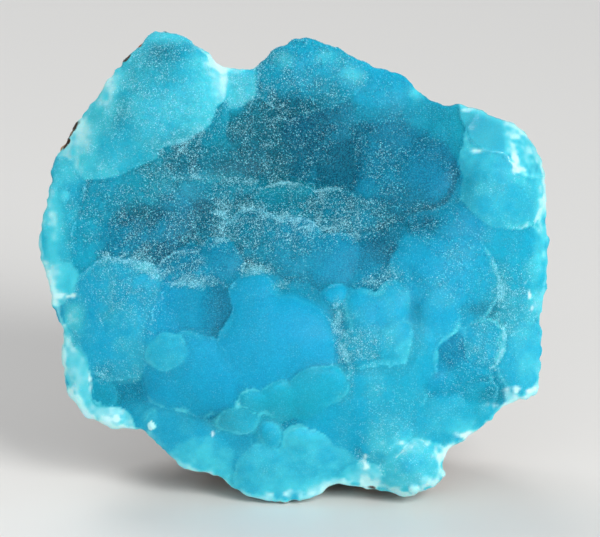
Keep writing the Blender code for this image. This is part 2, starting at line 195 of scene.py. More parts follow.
# The lobes, in groups that grew together. The first number of a group is how softly its lobes merge. The
# second is how much they jut out at the top like a ledge and run down under the next ones, or the other way
# up if it is below zero. Each lobe is given as: across, up, half width, half height, rise, lean to the right
# in degrees, how green its blue is, from 0 to 1, and its tone, from -1 for deep to 1 for nearly white
LOBE_GROUPS = {
    "left hump": (1.6, -0.25, [
        (-20.5, 71.3, 6.0, 6.2, 1.2, 0, 0.7, 0.08),
        (-21.3, 65.6, 7.6, 6.8, 2.4, 0, 0.6, 0.28),
        (-16.6, 67.0, 4.6, 5.6, 1.6, 0, 0.6, 0.42),
        (-28.3, 61.3, 6.6, 5.8, 1.9, 0, 0.7, 0.18),
        (-32.6, 57.6, 4.6, 3.8, 1.4, 0, 0.7, 0.35),
        (-29.0, 68.8, 4.6, 5.4, 0.9, 20, 0.7, 0.28),
        (-34.2, 63.4, 2.8, 6.0, 0.6, 35, 0.9, 0.40),
        (-12.8, 70.4, 2.8, 3.6, 0.6, 0, 0.6, 0.72),
    ]),
    "saddle": (0.8, 0.0, [
        (-9.2, 69.2, 3.2, 4.6, 0.7, 0, 0.6, 0.30),
    ]),
    "lobe under the saddle": (0.6, -0.1, [
        (-14.2, 63.5, 2.8, 4.9, 1.1, 18, 0.7, -0.05),
    ]),
    "right peak": (1.6, -0.2, [
        (2.5, 71.3, 8.6, 6.4, 1.4, 0, 0.7, -0.20),
        (6.0, 74.0, 4.4, 3.0, 1.4, 0, 0.6, 0.00),
        (9.6, 71.2, 3.6, 3.0, 1.2, 0, 0.5, 0.00),
        (0.5, 74.6, 3.0, 2.6, 0.9, 0, 0.3, -0.10),
        (-2.0, 69.0, 4.0, 3.4, 0.8, 0, 0.6, -0.20),
    ]),
    "right shoulder": (1.4, -0.1, [
        (17.5, 66.3, 7.5, 5.0, 0.9, 0, 0.5, -0.18),
        (13.6, 68.6, 3.8, 2.8, 1.0, 0, 0.4, 0.05),
        (22.5, 64.0, 3.8, 3.6, 0.9, 0, 0.7, -0.28),
        (27.0, 62.0, 4.2, 4.2, 0.5, 0, 0.8, -0.20),
    ]),
    "upper right": (1.0, -0.2, [
        (17.8, 56.3, 8.7, 8.7, 1.9, 0, 0.2, -0.54),
        (21.4, 54.0, 4.4, 4.6, 2.2, 0, 0.15, -0.48),
        (13.4, 55.0, 3.6, 4.8, 1.9, 0, 0.3, -0.45),
    ]),
    "hollow": (0.8, 0.35, [
        (-6.7, 63.8, 4.0, 4.0, 0.3, 0, 0.8, -0.30),
        (-12.8, 57.0, 3.2, 3.0, 0.5, 0, 0.9, -0.15),
        (-5.6, 59.0, 4.6, 2.8, 0.4, 0, 0.8, -0.35),
        (3.3, 60.7, 5.0, 3.5, 0.5, 0, 0.3, -0.35),
        (5.3, 66.3, 4.2, 3.2, 0.6, 0, 0.3, -0.30),
        (7.6, 55.6, 3.2, 4.4, 0.5, 0, 0.5, -0.75),
        (-18.5, 57.8, 3.6, 2.6, 0.8, 0, 0.7, -0.15),
    ]),
    "left edge": (1.2, 0.1, [
        (-39.6, 46.3, 3.4, 6.4, 1.2, 0, 0.8, 0.16),
        (-37.8, 53.6, 3.0, 3.6, 0.8, 0, 0.5, 0.05),
    ]),
    "left ball": (0.3, 0.0, [
        (-38.2, 51.2, 1.4, 1.4, 1.3, 0, 0.4, 0.50),
    ]),
    "left lumps": (0.4, 0.35, [
        (-24.7, 53.0, 4.9, 3.8, 1.4, 0, 0.8, -0.24),
        (-31.5, 51.0, 4.4, 4.2, 0.8, 0, 0.7, -0.24),
        (-20.0, 48.5, 3.4, 3.4, 1.2, 0, 0.5, -0.55),
        (-22.4, 45.4, 3.2, 3.0, 1.2, 0, 0.3, -0.48),
        (-28.5, 43.6, 4.4, 4.2, 1.4, 0, 0.3, -0.50),
        (-34.4, 43.4, 3.6, 4.2, 0.9, 0, 0.7, -0.10),
    ]),
    "first ledge": (1.0, 0.35, [
        (-17.0, 51.9, 3.2, 2.4, 1.1, 0, 0.8, -0.42),
        (-10.0, 51.2, 4.6, 3.0, 1.4, 0, 0.8, -0.40),
        (-1.5, 50.4, 5.2, 3.1, 1.5, 0, 0.8, -0.38),
        (6.6, 49.3, 4.4, 3.1, 1.3, 0, 0.6, -0.45),
        (12.6, 48.2, 3.2, 2.6, 0.8, 0, 0.4, -0.38),
    ]),
    "second ledge": (0.8, 0.35, [
        (-6.0, 45.5, 4.4, 3.9, 1.9, 0, 0.4, -0.40),
        (0.0, 43.6, 4.8, 3.8, 1.9, 0, 0.25, -0.30),
        (6.6, 41.4, 4.8, 3.4, 1.4, 0, 0.2, -0.42),
        (-13.2, 46.4, 3.0, 2.4, 0.8, 0, 0.6, -0.45),
    ]),
    "third ledge": (0.4, 0.35, [
        (-12.3, 40.8, 3.7, 3.7, 1.7, 0, 0.1, -0.34),
        (-17.0, 38.9, 5.0, 2.8, 1.2, 0, 0.1, -0.12),
        (12.6, 41.5, 3.4, 3.6, 1.2, 0, 0.2, -0.52),
        (17.4, 43.4, 4.0, 3.4, 1.0, 0, 0.2, -0.50),
        (13.2, 37.0, 3.0, 2.4, 0.9, 0, 0.2, -0.35),
    ]),
    "left lobe": (1.2, 0.35, [
        (-29.2, 33.3, 8.2, 8.0, 1.8, 0, 0.25, 0.14),
        (-28.3, 30.6, 3.4, 3.4, 2.4, 0, 0.4, 0.24),
        (-33.6, 27.0, 3.4, 3.2, 0.9, 0, 0.3, 0.12),
    ]),
    "blue lobe": (1.2, 0.35, [
        (-18.2, 33.0, 5.2, 4.0, 1.0, 0, 0.0, -0.12),
        (-23.2, 29.4, 3.6, 3.8, 0.9, 0, 0.0, 0.00),
        (-12.8, 33.4, 2.6, 3.6, 1.0, 0, 0.0, -0.62),
    ]),
    "round lobe": (0.3, 0.0, [
        (-20.7, 24.9, 4.1, 4.1, 2.4, 0, 0.4, 0.14),
    ]),
    "lower lobe": (1.4, -0.1, [
        (-17.5, 21.3, 7.6, 6.8, 2.1, 0, 0.1, 0.03),
        (-12.6, 19.6, 4.0, 3.6, 1.6, 0, 0.0, -0.05),
    ]),
    "low bead": (0.3, 0.0, [
        (-31.8, 18.4, 2.2, 2.2, 0.9, 0, 0.6, -0.05),
    ]),
    "great lobe": (1.4, 0.35, [
        (-3.0, 27.2, 9.8, 7.8, 2.6, 0, 0.05, 0.02),
        (-7.0, 34.4, 3.9, 4.4, 2.5, 0, 0.0, 0.02),
    ]),
    "bead beside the great lobe": (0.3, 0.0, [
        (6.8, 34.7, 1.9, 1.9, 2.0, 0, 0.2, 0.05),
    ]),
    "cluster right of the middle": (1.0, 0.1, [
        (11.8, 32.2, 3.7, 4.0, 2.6, 0, 0.2, 0.08),
        (15.9, 33.7, 3.4, 3.9, 2.8, 0, 0.3, 0.12),
        (16.8, 26.2, 4.2, 4.6, 2.9, 0, 0.4, 0.18),
        (11.9, 26.2, 4.0, 4.0, 2.7, 0, 0.4, 0.14),
    ]),
    "green lobe at the foot of the great one": (0.9, 0.3, [
        (-7.0, 17.2, 2.6, 2.3, 2.5, 0, 0.7, 0.10),
        (-2.8, 18.2, 3.6, 2.9, 2.7, 0, 0.75, 0.08),
        (4.3, 19.3, 5.4, 3.9, 2.8, 0, 0.7, 0.08),
    ]),
    "lens": (0.3, 0.0, [
        (-9.5, 13.9, 3.6, 2.5, 2.3, 0, 0.6, 0.16),
    ]),
    "low beads": (0.3, 0.15, [
        (-4.3, 11.4, 2.1, 2.1, 2.4, 0, 0.5, 0.12),
    ]),
    "low dome": (0.8, 0.35, [
        (2.2, 10.3, 4.2, 2.5, 2.5, 0, 0.4, 0.28),
        (4.4, 6.6, 5.4, 3.8, 1.7, 0, 0.35, 0.20),
    ]),
    "lower left edge": (0.8, 0.35, [
        (-15.8, 7.6, 5.0, 3.4, 1.1, 0, 0.5, 0.36),
        (-19.6, 11.6, 5.2, 3.8, 0.6, 0, 0.2, 0.12),
        (-11.0, 9.6, 3.2, 2.6, 0.6, 0, 0.3, 0.10),
    ]),
    "lowest edge": (1.2, 0.35, [
        (-2.6, 4.2, 6.8, 4.0, 1.2, 0, 0.4, 0.24),
        (-6.0, 6.6, 3.4, 2.6, 1.1, 0, 0.3, 0.20),
        (8.0, 4.4, 4.0, 3.2, 1.0, 0, 0.4, 0.24),
    ]),
    "right middle, down to the low belly": (1.8, 0.3, [
        (26.7, 37.7, 7.2, 6.3, 2.2, 0, 0.25, 0.10),
        (20.4, 40.0, 4.6, 5.0, 1.5, 0, 0.2, 0.02),
        (22.5, 44.5, 5.0, 4.0, 1.0, 0, 0.1, -0.12),
        (28.6, 45.4, 5.0, 4.0, 1.0, 0, 0.1, -0.02),
        (23.8, 31.2, 3.2, 4.4, 2.1, 0, 0.3, 0.10),
        (19.8, 23.6, 4.2, 5.4, 1.9, 0, 0.5, 0.08),
        (14.6, 17.2, 6.9, 7.2, 2.1, 0, 0.5, 0.14),
        (8.5, 13.6, 6.0, 4.6, 1.7, 0, 0.35, 0.08),
        (14.6, 11.2, 4.4, 3.6, 1.6, 0, 0.4, 0.30),
    ]),
    "ringed lobe": (0.3, 0.0, [
        (31.8, 26.6, 4.2, 4.2, 3.0, 0, 0.4, 0.10),
    ]),
    "right lobe": (0.8, 0.1, [
        (37.8, 24.7, 4.4, 5.8, 1.4, 0, 0.4, 0.12),
    ]),
    "low right lobes": (0.4, 0.35, [
        (28.5, 21.4, 3.8, 2.6, 1.6, 0, 0.5, -0.14),
        (26.4, 24.4, 3.2, 4.0, 1.0, 0, 0.2, -0.20),
        (24.3, 19.4, 2.6, 2.6, 1.8, 0, 0.4, -0.12),
        (30.2, 18.8, 3.0, 1.9, 1.5, 0, 0.6, -0.12),
        (25.0, 14.7, 5.4, 3.8, 1.7, 0, 0.5, 0.14),
        (30.4, 14.8, 3.0, 2.4, 0.9, 0, 0.7, 0.08),
    ]),
    "right edge": (0.8, 0.35, [
        (36.7, 35.5, 2.8, 6.7, 0.9, 0, 0.6, 0.16),
        (40.2, 38.2, 2.0, 3.4, 0.9, 0, 0.8, 0.22),
        (34.8, 43.2, 6.0, 4.4, 0.9, 0, 0.5, 0.04),
    ]),
    "knob": (1.0, -0.1, [
        (34.9, 51.4, 7.0, 6.8, 3.3, 0, 0.5, 0.20),
        (33.7, 58.4, 6.7, 6.7, 3.1, 0, 0.4, 0.26),
    ]),
    "low knob": (0.8, 0.0, [
        (19.7, 5.9, 5.9, 4.9, 2.0, 0, 0.4, 0.44),
        (20.0, 6.5, 3.8, 3.1, 2.8, 0, 0.1, 0.32),
        (19.8, 2.6, 1.1, 1.0, 2.6, 0, 0.5, 0.60),
        (21.9, 4.0, 1.5, 1.4, 2.7, 0, 0.5, 0.60),
    ]),
    "torn edge": (0.5, 0.0, [
        (9.6, 4.8, 3.0, 1.9, 1.2, 0, 0.7, 0.60),
        (11.3, 6.4, 1.0, 0.9, 1.0, 0, 0.5, 0.58),
        (12.8, 4.9, 1.9, 1.7, 1.4, 0, 0.6, 0.56),
        (11.6, 8.8, 0.8, 1.6, 0.9, 0, 0.5, 0.55),
    ]),
    "flakes at the left": (0.3, 0.0, [
        (-39.4, 37.2, 3.0, 3.6, 0.9, 25, 0.9, 0.38),
        (-36.4, 24.0, 2.1, 4.1, 1.0, -20, 0.8, 0.54),
        (-35.4, 18.0, 1.7, 2.1, 0.8, 0, 0.6, 0.50),
        (-31.8, 15.0, 3.8, 1.5, 0.5, 25, 0.8, 0.60),
    ]),
    "drop": (0.2, 0.0, [
        (-23.8, 13.1, 0.7, 0.7, 1.6, 0, 0.3, 1.00),
    ]),
}
# What share of its rise a lobe gets, how far the bed between the lobes lies under the broad form, and how
# fast a lobe falls away past its edge
RISE_SHARE = 0.42
BED_BELOW = 0.5
FALL = 2
# How flat the lobes are on top: 2 makes them round, and a higher number flatter
LOBE_FLATNESS = 2.5
# How much longer the half of a lobe is that runs down under the next ones, and how far from its middle that
# is whole and its jut is greatest, as shares of its half height
LEDGE_STRETCH = 1.4
STRETCH_WITHIN = 0.8
JUT_LIMIT = 1.5
# A lobe that rises less than this is wider than it is given, by up to this share, because its foot shows less
LOW_RISE = 2.4
LOW_LOBE_SPREAD = 0.25
# How softly the groups merge, in shape and in tint, and the tints in a group: at least, and for its softness
GROUP_BLEND = 0.12
GROUP_TINT_BLEND = 0.06
LOBE_TINT_BLEND = (0.05, 0.25)
# The bed's green, tone and frost, and how much lower it counts than it is where tints merge
BED_TINT = (0.3, -0.15, 0.3)
BED_SUNK = 1.0
# The gaps between the lobes are filled up to a little under the mean height round them
FILL_WIDTH = 1.8
FILL_BELOW = 0.03
FILL_BLEND = 0.3
# How far from a group's edge its border shows, and how much steeper one side has to be to count as its lobe
EDGE_REACH = 2.5
STEEPER_BY = 0.15
LEAST_STEEPNESS = 0.05
# How the lobes' edges, the skin and the rim waver: how far apart the bays or lumps are, and how deep
LOBE_WAVERING = ((5.0, 0.40), (2.2, 0.20), (1.1, 0.10))
SKIN_WAVERING = ((4.0, 0.18), (1.9, 0.12), (0.9, 0.08))
RIM_WAVERING = ((3.6, 0.40), (1.5, 0.24), (0.8, 0.18))
# How much of the skin's wavering is left where it is smooth
SMOOTH_SHARE = 0.35
# The first seed of each wavering, which makes it the same in each run
SEEDS = {"rim": 50, "lobes across": 70, "lobes up": 80, "skin": 90}

# Marks on the crust, by kind. They fade out round their middles, and each is given as: across, up, how much,
# half width, half height
MARKS = {
    # Milkier than the rest, and painted glow where the crust is thin and lit through, as at the saddle, the
    # top of the hump and the left edge
    "milky": (
        (-31.4, 69.0, 0.64, 2.0, 4.0), (-35.6, 61.6, 0.42, 2.0, 3.0), (-37.6, 55.4, 0.30, 2.4, 3.0),
        (-40.0, 48.0, 0.45, 1.4, 5.0), (-22.0, 77.6, 0.35, 3.6, 1.2), (-14.0, 73.6, 0.4, 2.6, 1.4),
        (-37.0, 31.0, 0.45, 2.0, 2.0), (-1.6, 73.6, 0.3, 2.0, 1.6), (5.2, 74.2, 0.3, 2.6, 1.4),
        (9.6, 71.4, 0.3, 2.2, 1.6), (20.2, 68.4, 0.35, 1.8, 1.6), (38.4, 57.5, 0.35, 2.6, 4.0),
        (40.8, 45.5, 0.34, 1.2, 6.0), (39.8, 34.6, 0.12, 1.2, 3.2), (38.6, 24.0, 0.2, 2.4, 6.0),
        (-40.6, 40.0, 0.3, 1.4, 5.0), (4.0, 2.6, 0.2, 8.0, 1.4), (17.8, 9.8, 0.34, 3.6, 1.6),
        (29.0, 12.6, 0.30, 3.6, 1.4), (-25.0, 15.5, 0.2, 4.0, 2.0),
    ),
    # Deep in colour, and painted shade in the hollow under the peaks and in the creases between the ledges
    "deep": (
        (-2.0, 60.5, 0.50, 13.0, 7.0), (-19.2, 56.4, 0.35, 2.6, 2.4), (-1.0, 66.2, 0.45, 2.6, 1.8),
        (-15.6, 48.4, 0.55, 1.8, 2.4), (-8.8, 50.2, 0.35, 2.0, 1.4), (1.2, 64.6, 0.55, 5.0, 2.6),
        (3.4, 62.8, 0.35, 1.6, 1.6), (-14.0, 57.8, 0.30, 5.0, 3.5), (-22.0, 75.0, 0.45, 2.6, 2.6),
        (-29.6, 65.0, 0.4, 2.6, 2.2), (-25.3, 48.4, 0.60, 4.4, 1.8), (-15.0, 46.6, 0.45, 2.4, 3.4),
        (-20.5, 41.4, 0.40, 5.0, 2.4), (21.4, 46.6, 0.55, 3.0, 1.8), (24.0, 57.0, 0.25, 5.0, 6.0),
        (28.4, 52.0, 0.20, 2.0, 7.0), (20.4, 31.2, 0.35, 1.4, 3.6), (-26.6, 18.8, 0.38, 5.0, 3.2),
        (-8.4, 10.4, 0.30, 2.4, 1.6), (-13.0, 14.6, 0.45, 4.4, 1.6), (2.0, 22.6, 0.15, 5.0, 2.0),
        (26.0, 25.4, 0.30, 2.2, 2.6), (32.4, 18.4, 0.25, 1.6, 1.4), (14.0, 42.8, 0.35, 3.4, 3.0),
        (8.4, 55.4, 0.90, 2.2, 3.4), (-9.0, 56.0, 0.30, 9.0, 1.6), (2.4, 49.4, 0.20, 9.0, 1.8),
        (-2.2, 52.2, -0.20, 7.0, 0.8), (31.0, 32.4, 0.50, 4.0, 1.4),
    ),
    # White cracks, chips and torn edges, and a painted highlight on the lower edge of the knob's glassy cap
    "white": (
        (36.2, 56.8, 0.8, 0.7, 1.5), (37.2, 55.4, 0.6, 1.2, 0.5), (29.8, 58.6, 0.40, 1.2, 0.6),
        (29.0, 65.4, 0.5, 1.8, 0.4), (-38.2, 34.5, 0.8, 1.9, 0.45), (39.0, 34.8, 0.9, 0.30, 0.8),
        (39.4, 32.6, 0.7, 0.3, 0.6), (38.2, 36.6, 0.4, 0.3, 0.8), (-29.8, 14.2, 0.8, 1.6, 0.6),
        (-34.0, 19.8, 0.5, 0.3, 2.0), (9.8, 3.6, 0.5, 1.6, 0.4), (11.6, 7.6, 0.6, 0.4, 1.6),
        (12.9, 6.2, 0.5, 1.2, 0.4), (-13.6, 11.8, 0.8, 0.3, 0.6), (-0.8, 1.6, 0.35, 5.0, 0.8),
        (37.6, 18.9, 0.8, 2.6, 0.6), (17.5, 10.2, 0.35, 3.5, 0.6), (23.6, 8.6, 0.5, 1.0, 1.6),
        (34.0, 16.4, 0.55, 2.4, 0.7), (31.0, 13.2, 0.55, 1.6, 0.9), (28.0, 11.2, 0.60, 1.8, 0.8),
        (25.4, 8.4, 0.50, 0.7, 1.6),
    ),
    # Lobes that are thickly frosted along their edge
    "frosted edge": (
        (-25.0, 41.5, 1.0, 7.0, 3.0), (-16.5, 38.0, 0.7, 6.0, 3.0), (-6.5, 39.8, 0.9, 3.0, 1.6),
        (-6.0, 53.6, 0.6, 13.0, 1.6), (0.0, 48.6, 0.6, 8.0, 2.0), (6.4, 31.0, 0.7, 1.6, 5.0),
        (11.7, 27.0, 0.5, 3.0, 2.0), (33.5, 38.0, 0.45, 3.0, 5.0), (35.4, 27.5, 0.6, 1.6, 4.0),
        (31.5, 22.8, 0.6, 3.5, 1.6), (19.5, 30.0, 0.3, 2.0, 5.0), (23.0, 53.0, 0.35, 3.0, 6.0),
        (33.0, 46.4, 0.60, 6.0, 2.5), (-4.0, 66.0, 0.3, 4.0, 3.0),
    ),
    # Frost in thick strips
    "frost strip": (
        (-28.4, 41.0, 0.9, 2.6, 0.9), (-25.0, 39.6, 1.0, 1.6, 0.9), (-22.8, 37.8, 0.9, 1.6, 0.9),
        (-18.6, 36.7, 0.8, 2.8, 0.7), (-14.0, 37.0, 0.55, 2.6, 0.7), (-6.4, 38.9, 1.1, 2.4, 0.7),
        (-2.6, 36.4, 0.5, 1.6, 0.8), (7.0, 30.4, 1.0, 0.7, 3.2), (8.0, 26.0, 0.8, 0.9, 2.0),
        (-16.8, 54.3, 0.65, 2.4, 0.4), (-9.6, 53.9, 0.4, 3.8, 0.6), (-1.0, 53.3, 0.5, 3.4, 0.5),
        (5.6, 52.4, 0.4, 3.4, 0.6), (-7.4, 49.4, 0.40, 2.6, 0.6), (-2.0, 47.8, 0.45, 2.4, 0.6),
        (3.2, 45.9, 0.45, 2.2, 0.6), (8.6, 43.8, 0.45, 2.2, 0.7), (-13.2, 43.4, 0.40, 2.6, 1.0),
        (-12.0, 47.0, 0.22, 1.0, 3.4), (5.4, 50.2, 0.2, 2.4, 0.9), (12.4, 36.8, 0.5, 1.8, 0.7),
        (16.4, 38.6, 0.6, 2.0, 0.8), (34.2, 34.8, 0.6, 0.6, 3.0), (20.5, 49.0, 0.20, 3.0, 0.6),
    ),
    # Lobes with a pale border: a painted sheen and glow along their edges
    "pale border": (
        (19.7, 5.9, 0.55, 7.0, 6.0), (34.0, 53.4, 0.75, 8.0, 9.0), (32.2, 26.3, 0.30, 5.0, 5.0),
        (-35.4, 18.0, 0.45, 3.0, 3.0), (-7.4, 17.0, 0.30, 3.0, 3.0), (3.4, 10.2, 0.10, 6.0, 4.0),
        (15.0, 27.5, 0.14, 7.0, 8.0), (24.8, 25.0, 0.16, 2.4, 7.0), (-19.0, 15.4, 0.20, 6.0, 2.0),
    ),
    # Brown rock that shows past the rim
    "stained": (
        (-37.2, 61.2, 1.5, 1.8, 3.2), (-28.4, 73.8, 1.1, 1.6, 2.6), (-21.0, 78.6, 0.6, 1.4, 0.5),
        (-16.4, 4.8, 0.7, 1.4, 0.6), (13.6, 3.0, 1.6, 1.5, 0.8),
    ),
    # Edges of lobes that fade out
    "faded edge": (
        (19.0, 37.0, 1.0, 3.0, 5.0), (22.0, 45.0, 1.0, 6.0, 3.0), (30.0, 46.0, 0.8, 6.0, 3.0),
        (20.0, 13.5, 0.9, 2.4, 3.4), (20.2, 29.8, 1.0, 1.2, 1.6), (9.0, 9.0, 0.9, 4.0, 2.4),
        (3.0, 15.0, 0.9, 6.0, 1.6), (-12.0, 57.0, 0.8, 6.0, 5.0), (19.5, 55.0, 0.9, 7.0, 8.0),
        (26.6, 51.0, 1.0, 2.4, 6.0), (-0.6, 9.6, 0.8, 1.6, 2.2),
    ),
    # The broken rim where it is pale and worn
    "worn rim": (
        (-13.0, 73.0, 1.0, 5.0, 3.0), (-37.0, 62.0, 0.4, 3.0, 5.0), (-42.0, 40.0, 0.9, 4.0, 9.0),
        (-38.0, 24.0, 1.0, 4.0, 9.0), (-30.0, 13.0, 1.0, 7.0, 4.0), (-14.0, 5.0, 0.9, 8.0, 4.0),
        (0.0, 0.5, 0.9, 9.0, 3.0), (10.0, 3.0, 1.0, 4.0, 3.0), (20.0, 3.0, 0.8, 7.0, 5.0),
        (28.0, 11.5, 1.0, 6.0, 5.0), (37.0, 18.0, 1.0, 5.0, 3.5), (41.0, 34.0, 0.35, 3.0, 9.0),
        (41.5, 50.0, 0.4, 3.0, 6.0), (38.5, 62.0, 0.5, 5.0, 4.0),
    ),
    # Places thick with crystal points, and smooth ones, where the amount is below zero
    "frosted": (
        (-5.0, 47.0, 0.60, 13.0, 4.8), (-25.5, 45.8, 0.58, 7.5, 4.6), (-25.5, 53.0, 0.45, 8.0, 4.0),
        (-34.5, 50.0, 0.35, 4.5, 6.0), (-25.0, 67.0, 0.22, 6.0, 8.0), (8.0, 46.6, 0.52, 8.5, 4.5),
        (-17.0, 38.6, 0.85, 5.6, 1.9), (-27.5, 41.0, 0.90, 4.0, 1.6), (-6.5, 39.6, 0.90, 2.4, 1.0),
        (-12.0, 41.5, 0.40, 4.0, 2.6), (7.0, 29.5, 1.00, 1.0, 3.4), (8.2, 25.2, 0.80, 1.2, 2.6),
        (9.8, 21.5, 0.50, 1.2, 2.4), (11.7, 26.3, 0.60, 2.8, 1.8), (16.0, 37.0, 0.60, 3.4, 1.6),
        (-31.6, 21.9, 1.00, 1.7, 2.0), (-37.3, 26.9, 0.70, 1.4, 1.6), (-4.0, 60.0, 0.52, 14.0, 8.5),
        (4.0, 71.5, 0.45, 8.5, 5.0), (-4.5, 69.0, 0.35, 4.5, 5.0), (-9.2, 69.2, 0.20, 3.0, 4.0),
        (-12.9, 57.2, -0.25, 1.2, 1.6), (-17.5, 58.0, 0.35, 4.0, 3.0), (-3.5, 50.6, -0.50, 2.6, 1.3),
        (-17.8, 50.2, -0.40, 1.6, 1.4), (-11.6, 48.5, 0.40, 1.3, 5.0), (-12.0, 40.6, -0.60, 3.2, 1.6),
        (8.4, 55.4, -0.55, 2.0, 3.6), (-26.0, 48.6, -0.30, 1.6, 2.2), (5.5, 41.0, -0.20, 2.6, 1.8),
        (17.5, 57.5, 0.36, 8.0, 8.0), (19.2, 60.8, -0.35, 2.2, 2.0), (20.8, 53.6, -0.45, 2.8, 2.4),
        (24.5, 44.7, 0.20, 8.0, 2.6), (37.2, 35.5, 0.60, 4.0, 5.5), (31.0, 27.0, 0.40, 5.0, 5.0),
        (27.5, 21.0, 0.34, 6.0, 4.0), (-21.7, 74.2, 0.60, 3.2, 3.0), (-30.0, 64.7, 0.45, 3.4, 3.4),
        (-18.5, 59.8, 0.55, 4.0, 2.4), (-37.5, 47.2, 0.35, 3.0, 6.0), (-4.4, 5.8, 1.00, 1.3, 1.0),
        (10.9, 8.8, 0.80, 1.0, 3.0), (17.0, 9.0, 0.36, 5.5, 4.5), (-27.5, 33.0, 0.62, 6.5, 5.0),
        (26.0, 17.0, 0.15, 8.0, 5.0), (34.7, 52.2, 0.30, 6.0, 5.0), (-21.0, 65.0, 0.30, 10.0, 7.0),
        (-33.0, 58.0, 0.30, 5.0, 4.0), (14.0, 28.5, 0.24, 5.0, 5.0), (26.0, 37.5, 0.36, 7.0, 6.0),
        (14.0, 15.5, 0.31, 6.0, 6.0), (-4.4, 29.6, -0.10, 7.0, 6.0), (38.0, 24.5, 0.20, 4.0, 6.0),
        (19.7, 5.9, 0.25, 5.0, 4.0),
    ),
}

# The crust is worked out on a lattice with these spacings, from its lowest corner: across, up, out
SPACINGS = (0.32, 0.32, 0.40)
LATTICE_LOW = (-44.5, -1.5, -7.5)
LATTICE_HIGH = (44.0, 80.0, 19.0)
# The face's maps are finer than the lattice by this much
MAP_STEPS = 2
MAP_SPACING = SPACINGS[0] / MAP_STEPS
# How far a blur reaches, as a multiple of its width
BLUR_REACH = 2.5


def lobe_height(across, up, bed, lobe, ledge):
    """How far out one lobe's skin lies: on the bed at the lobe's edge, and under the bed past that."""
    x, y, half_width, half_height, rise, lean = lobe[:6]
    turn = math.radians(lean)
    spread = 1 + LOW_LOBE_SPREAD * max(0.0, 1 - rise / LOW_RISE)
    right = ((across - x) * math.cos(turn) - (up - y) * math.sin(turn)) / (spread * half_width)
    top = ((across - x) * math.sin(turn) + (up - y) * math.cos(turn)) / (spread * half_height)
    stretch = 1 + LEDGE_STRETCH * abs(ledge) * smooth_step(-top * np.sign(ledge), 0.0, STRETCH_WITHIN)
    share = np.hypot(right, top / stretch)
    jut = 1 + ledge * np.clip(top, -JUT_LIMIT, JUT_LIMIT)
    dome = np.sqrt(np.maximum(1 - share**LOBE_FLATNESS, 0)) * jut
    fallen = FALL * min(half_width, half_height) * np.maximum(share - 1, 0)
    return bed + (RISE_SHARE * rise + BED_BELOW) * dome - fallen


def softened(heights, width):
    """A map of the face, blurred over about that width in millimetres."""
    half = math.ceil(BLUR_REACH * width / MAP_SPACING)
    weight = np.exp(-((np.arange(-half, half + 1) * MAP_SPACING / width) ** 2))
    weight /= weight.sum()
    for _ in range(2):
        padded = np.pad(heights, ((half, half), (0, 0)), "edge")
        heights = sum(share * padded[k:k + heights.shape[0]] for k, share in enumerate(weight)).T
    return heights


def weighed(tints, heights, top, softness):
    """The three values of each tint, merged by how near each height is to the top."""
    weights = [np.exp((height - top) / softness) for height in heights]
    total = sum(weights)
    return [sum(weight * tint[k] for weight, tint in zip(weights, tints)) / total for k in range(3)]


def near_edges(groups):
    """1 at the edge of the steeper of two groups of lobes, -1 just past it, and 0 from EDGE_REACH away."""
    order = np.argsort(groups, axis=0)[-2:]
    lower, upper = np.take_along_axis(groups, order, axis=0)
    slopes = np.hypot(*np.gradient(groups, MAP_SPACING, axis=(1, 2)))
    lower_slope, upper_slope = np.take_along_axis(slopes, order, axis=0)
    steepness = np.hypot(*np.gradient(upper - lower, MAP_SPACING))
    away = (upper - lower) / np.maximum(steepness, LEAST_STEEPNESS)
    side = np.clip((upper_slope - lower_slope) / STEEPER_BY, -1, 1)
    return side * np.maximum(1 - away / EDGE_REACH, 0)


def face_maps(across, up):
    """The skin's height over the face, its green, tone and frost, and how near the groups' edges are."""
    bed = broad_form(across, up) - BED_BELOW
    wavered_across = across + face_noise(across, up, LOBE_WAVERING, SEEDS["lobes across"])
    wavered_up = up + face_noise(across, up, LOBE_WAVERING, SEEDS["lobes up"])
    groups = [bed]
    tints = [BED_TINT]
    for blend, ledge, lobes in LOBE_GROUPS.values():
        heights = [lobe_height(wavered_across, wavered_up, bed, lobe, ledge) for lobe in lobes]
        own = [(*lobe[6:], float(patches(MARKS["frosted"], lobe[0], lobe[1]))) for lobe in lobes]
        group = functools.reduce(lambda one, other: blended_max(one, other, blend), heights)
        groups.append(group)
        tints.append(weighed(own, heights, group, LOBE_TINT_BLEND[0] + LOBE_TINT_BLEND[1] * blend))
    skin = functools.reduce(lambda one, other: blended_max(one, other, GROUP_BLEND), groups)
    skin = blended_max(skin, softened(skin, FILL_WIDTH) - FILL_BELOW, FILL_BLEND)
    sunk = [bed - BED_SUNK, *groups[1:]]
    return skin, weighed(tints, sunk, skin, GROUP_TINT_BLEND), near_edges(np.stack(groups))


def in_millimetres(steps):
    """Places given in steps of the lattice, as places over the face."""
    return steps * SPACINGS + np.array(LATTICE_LOW)


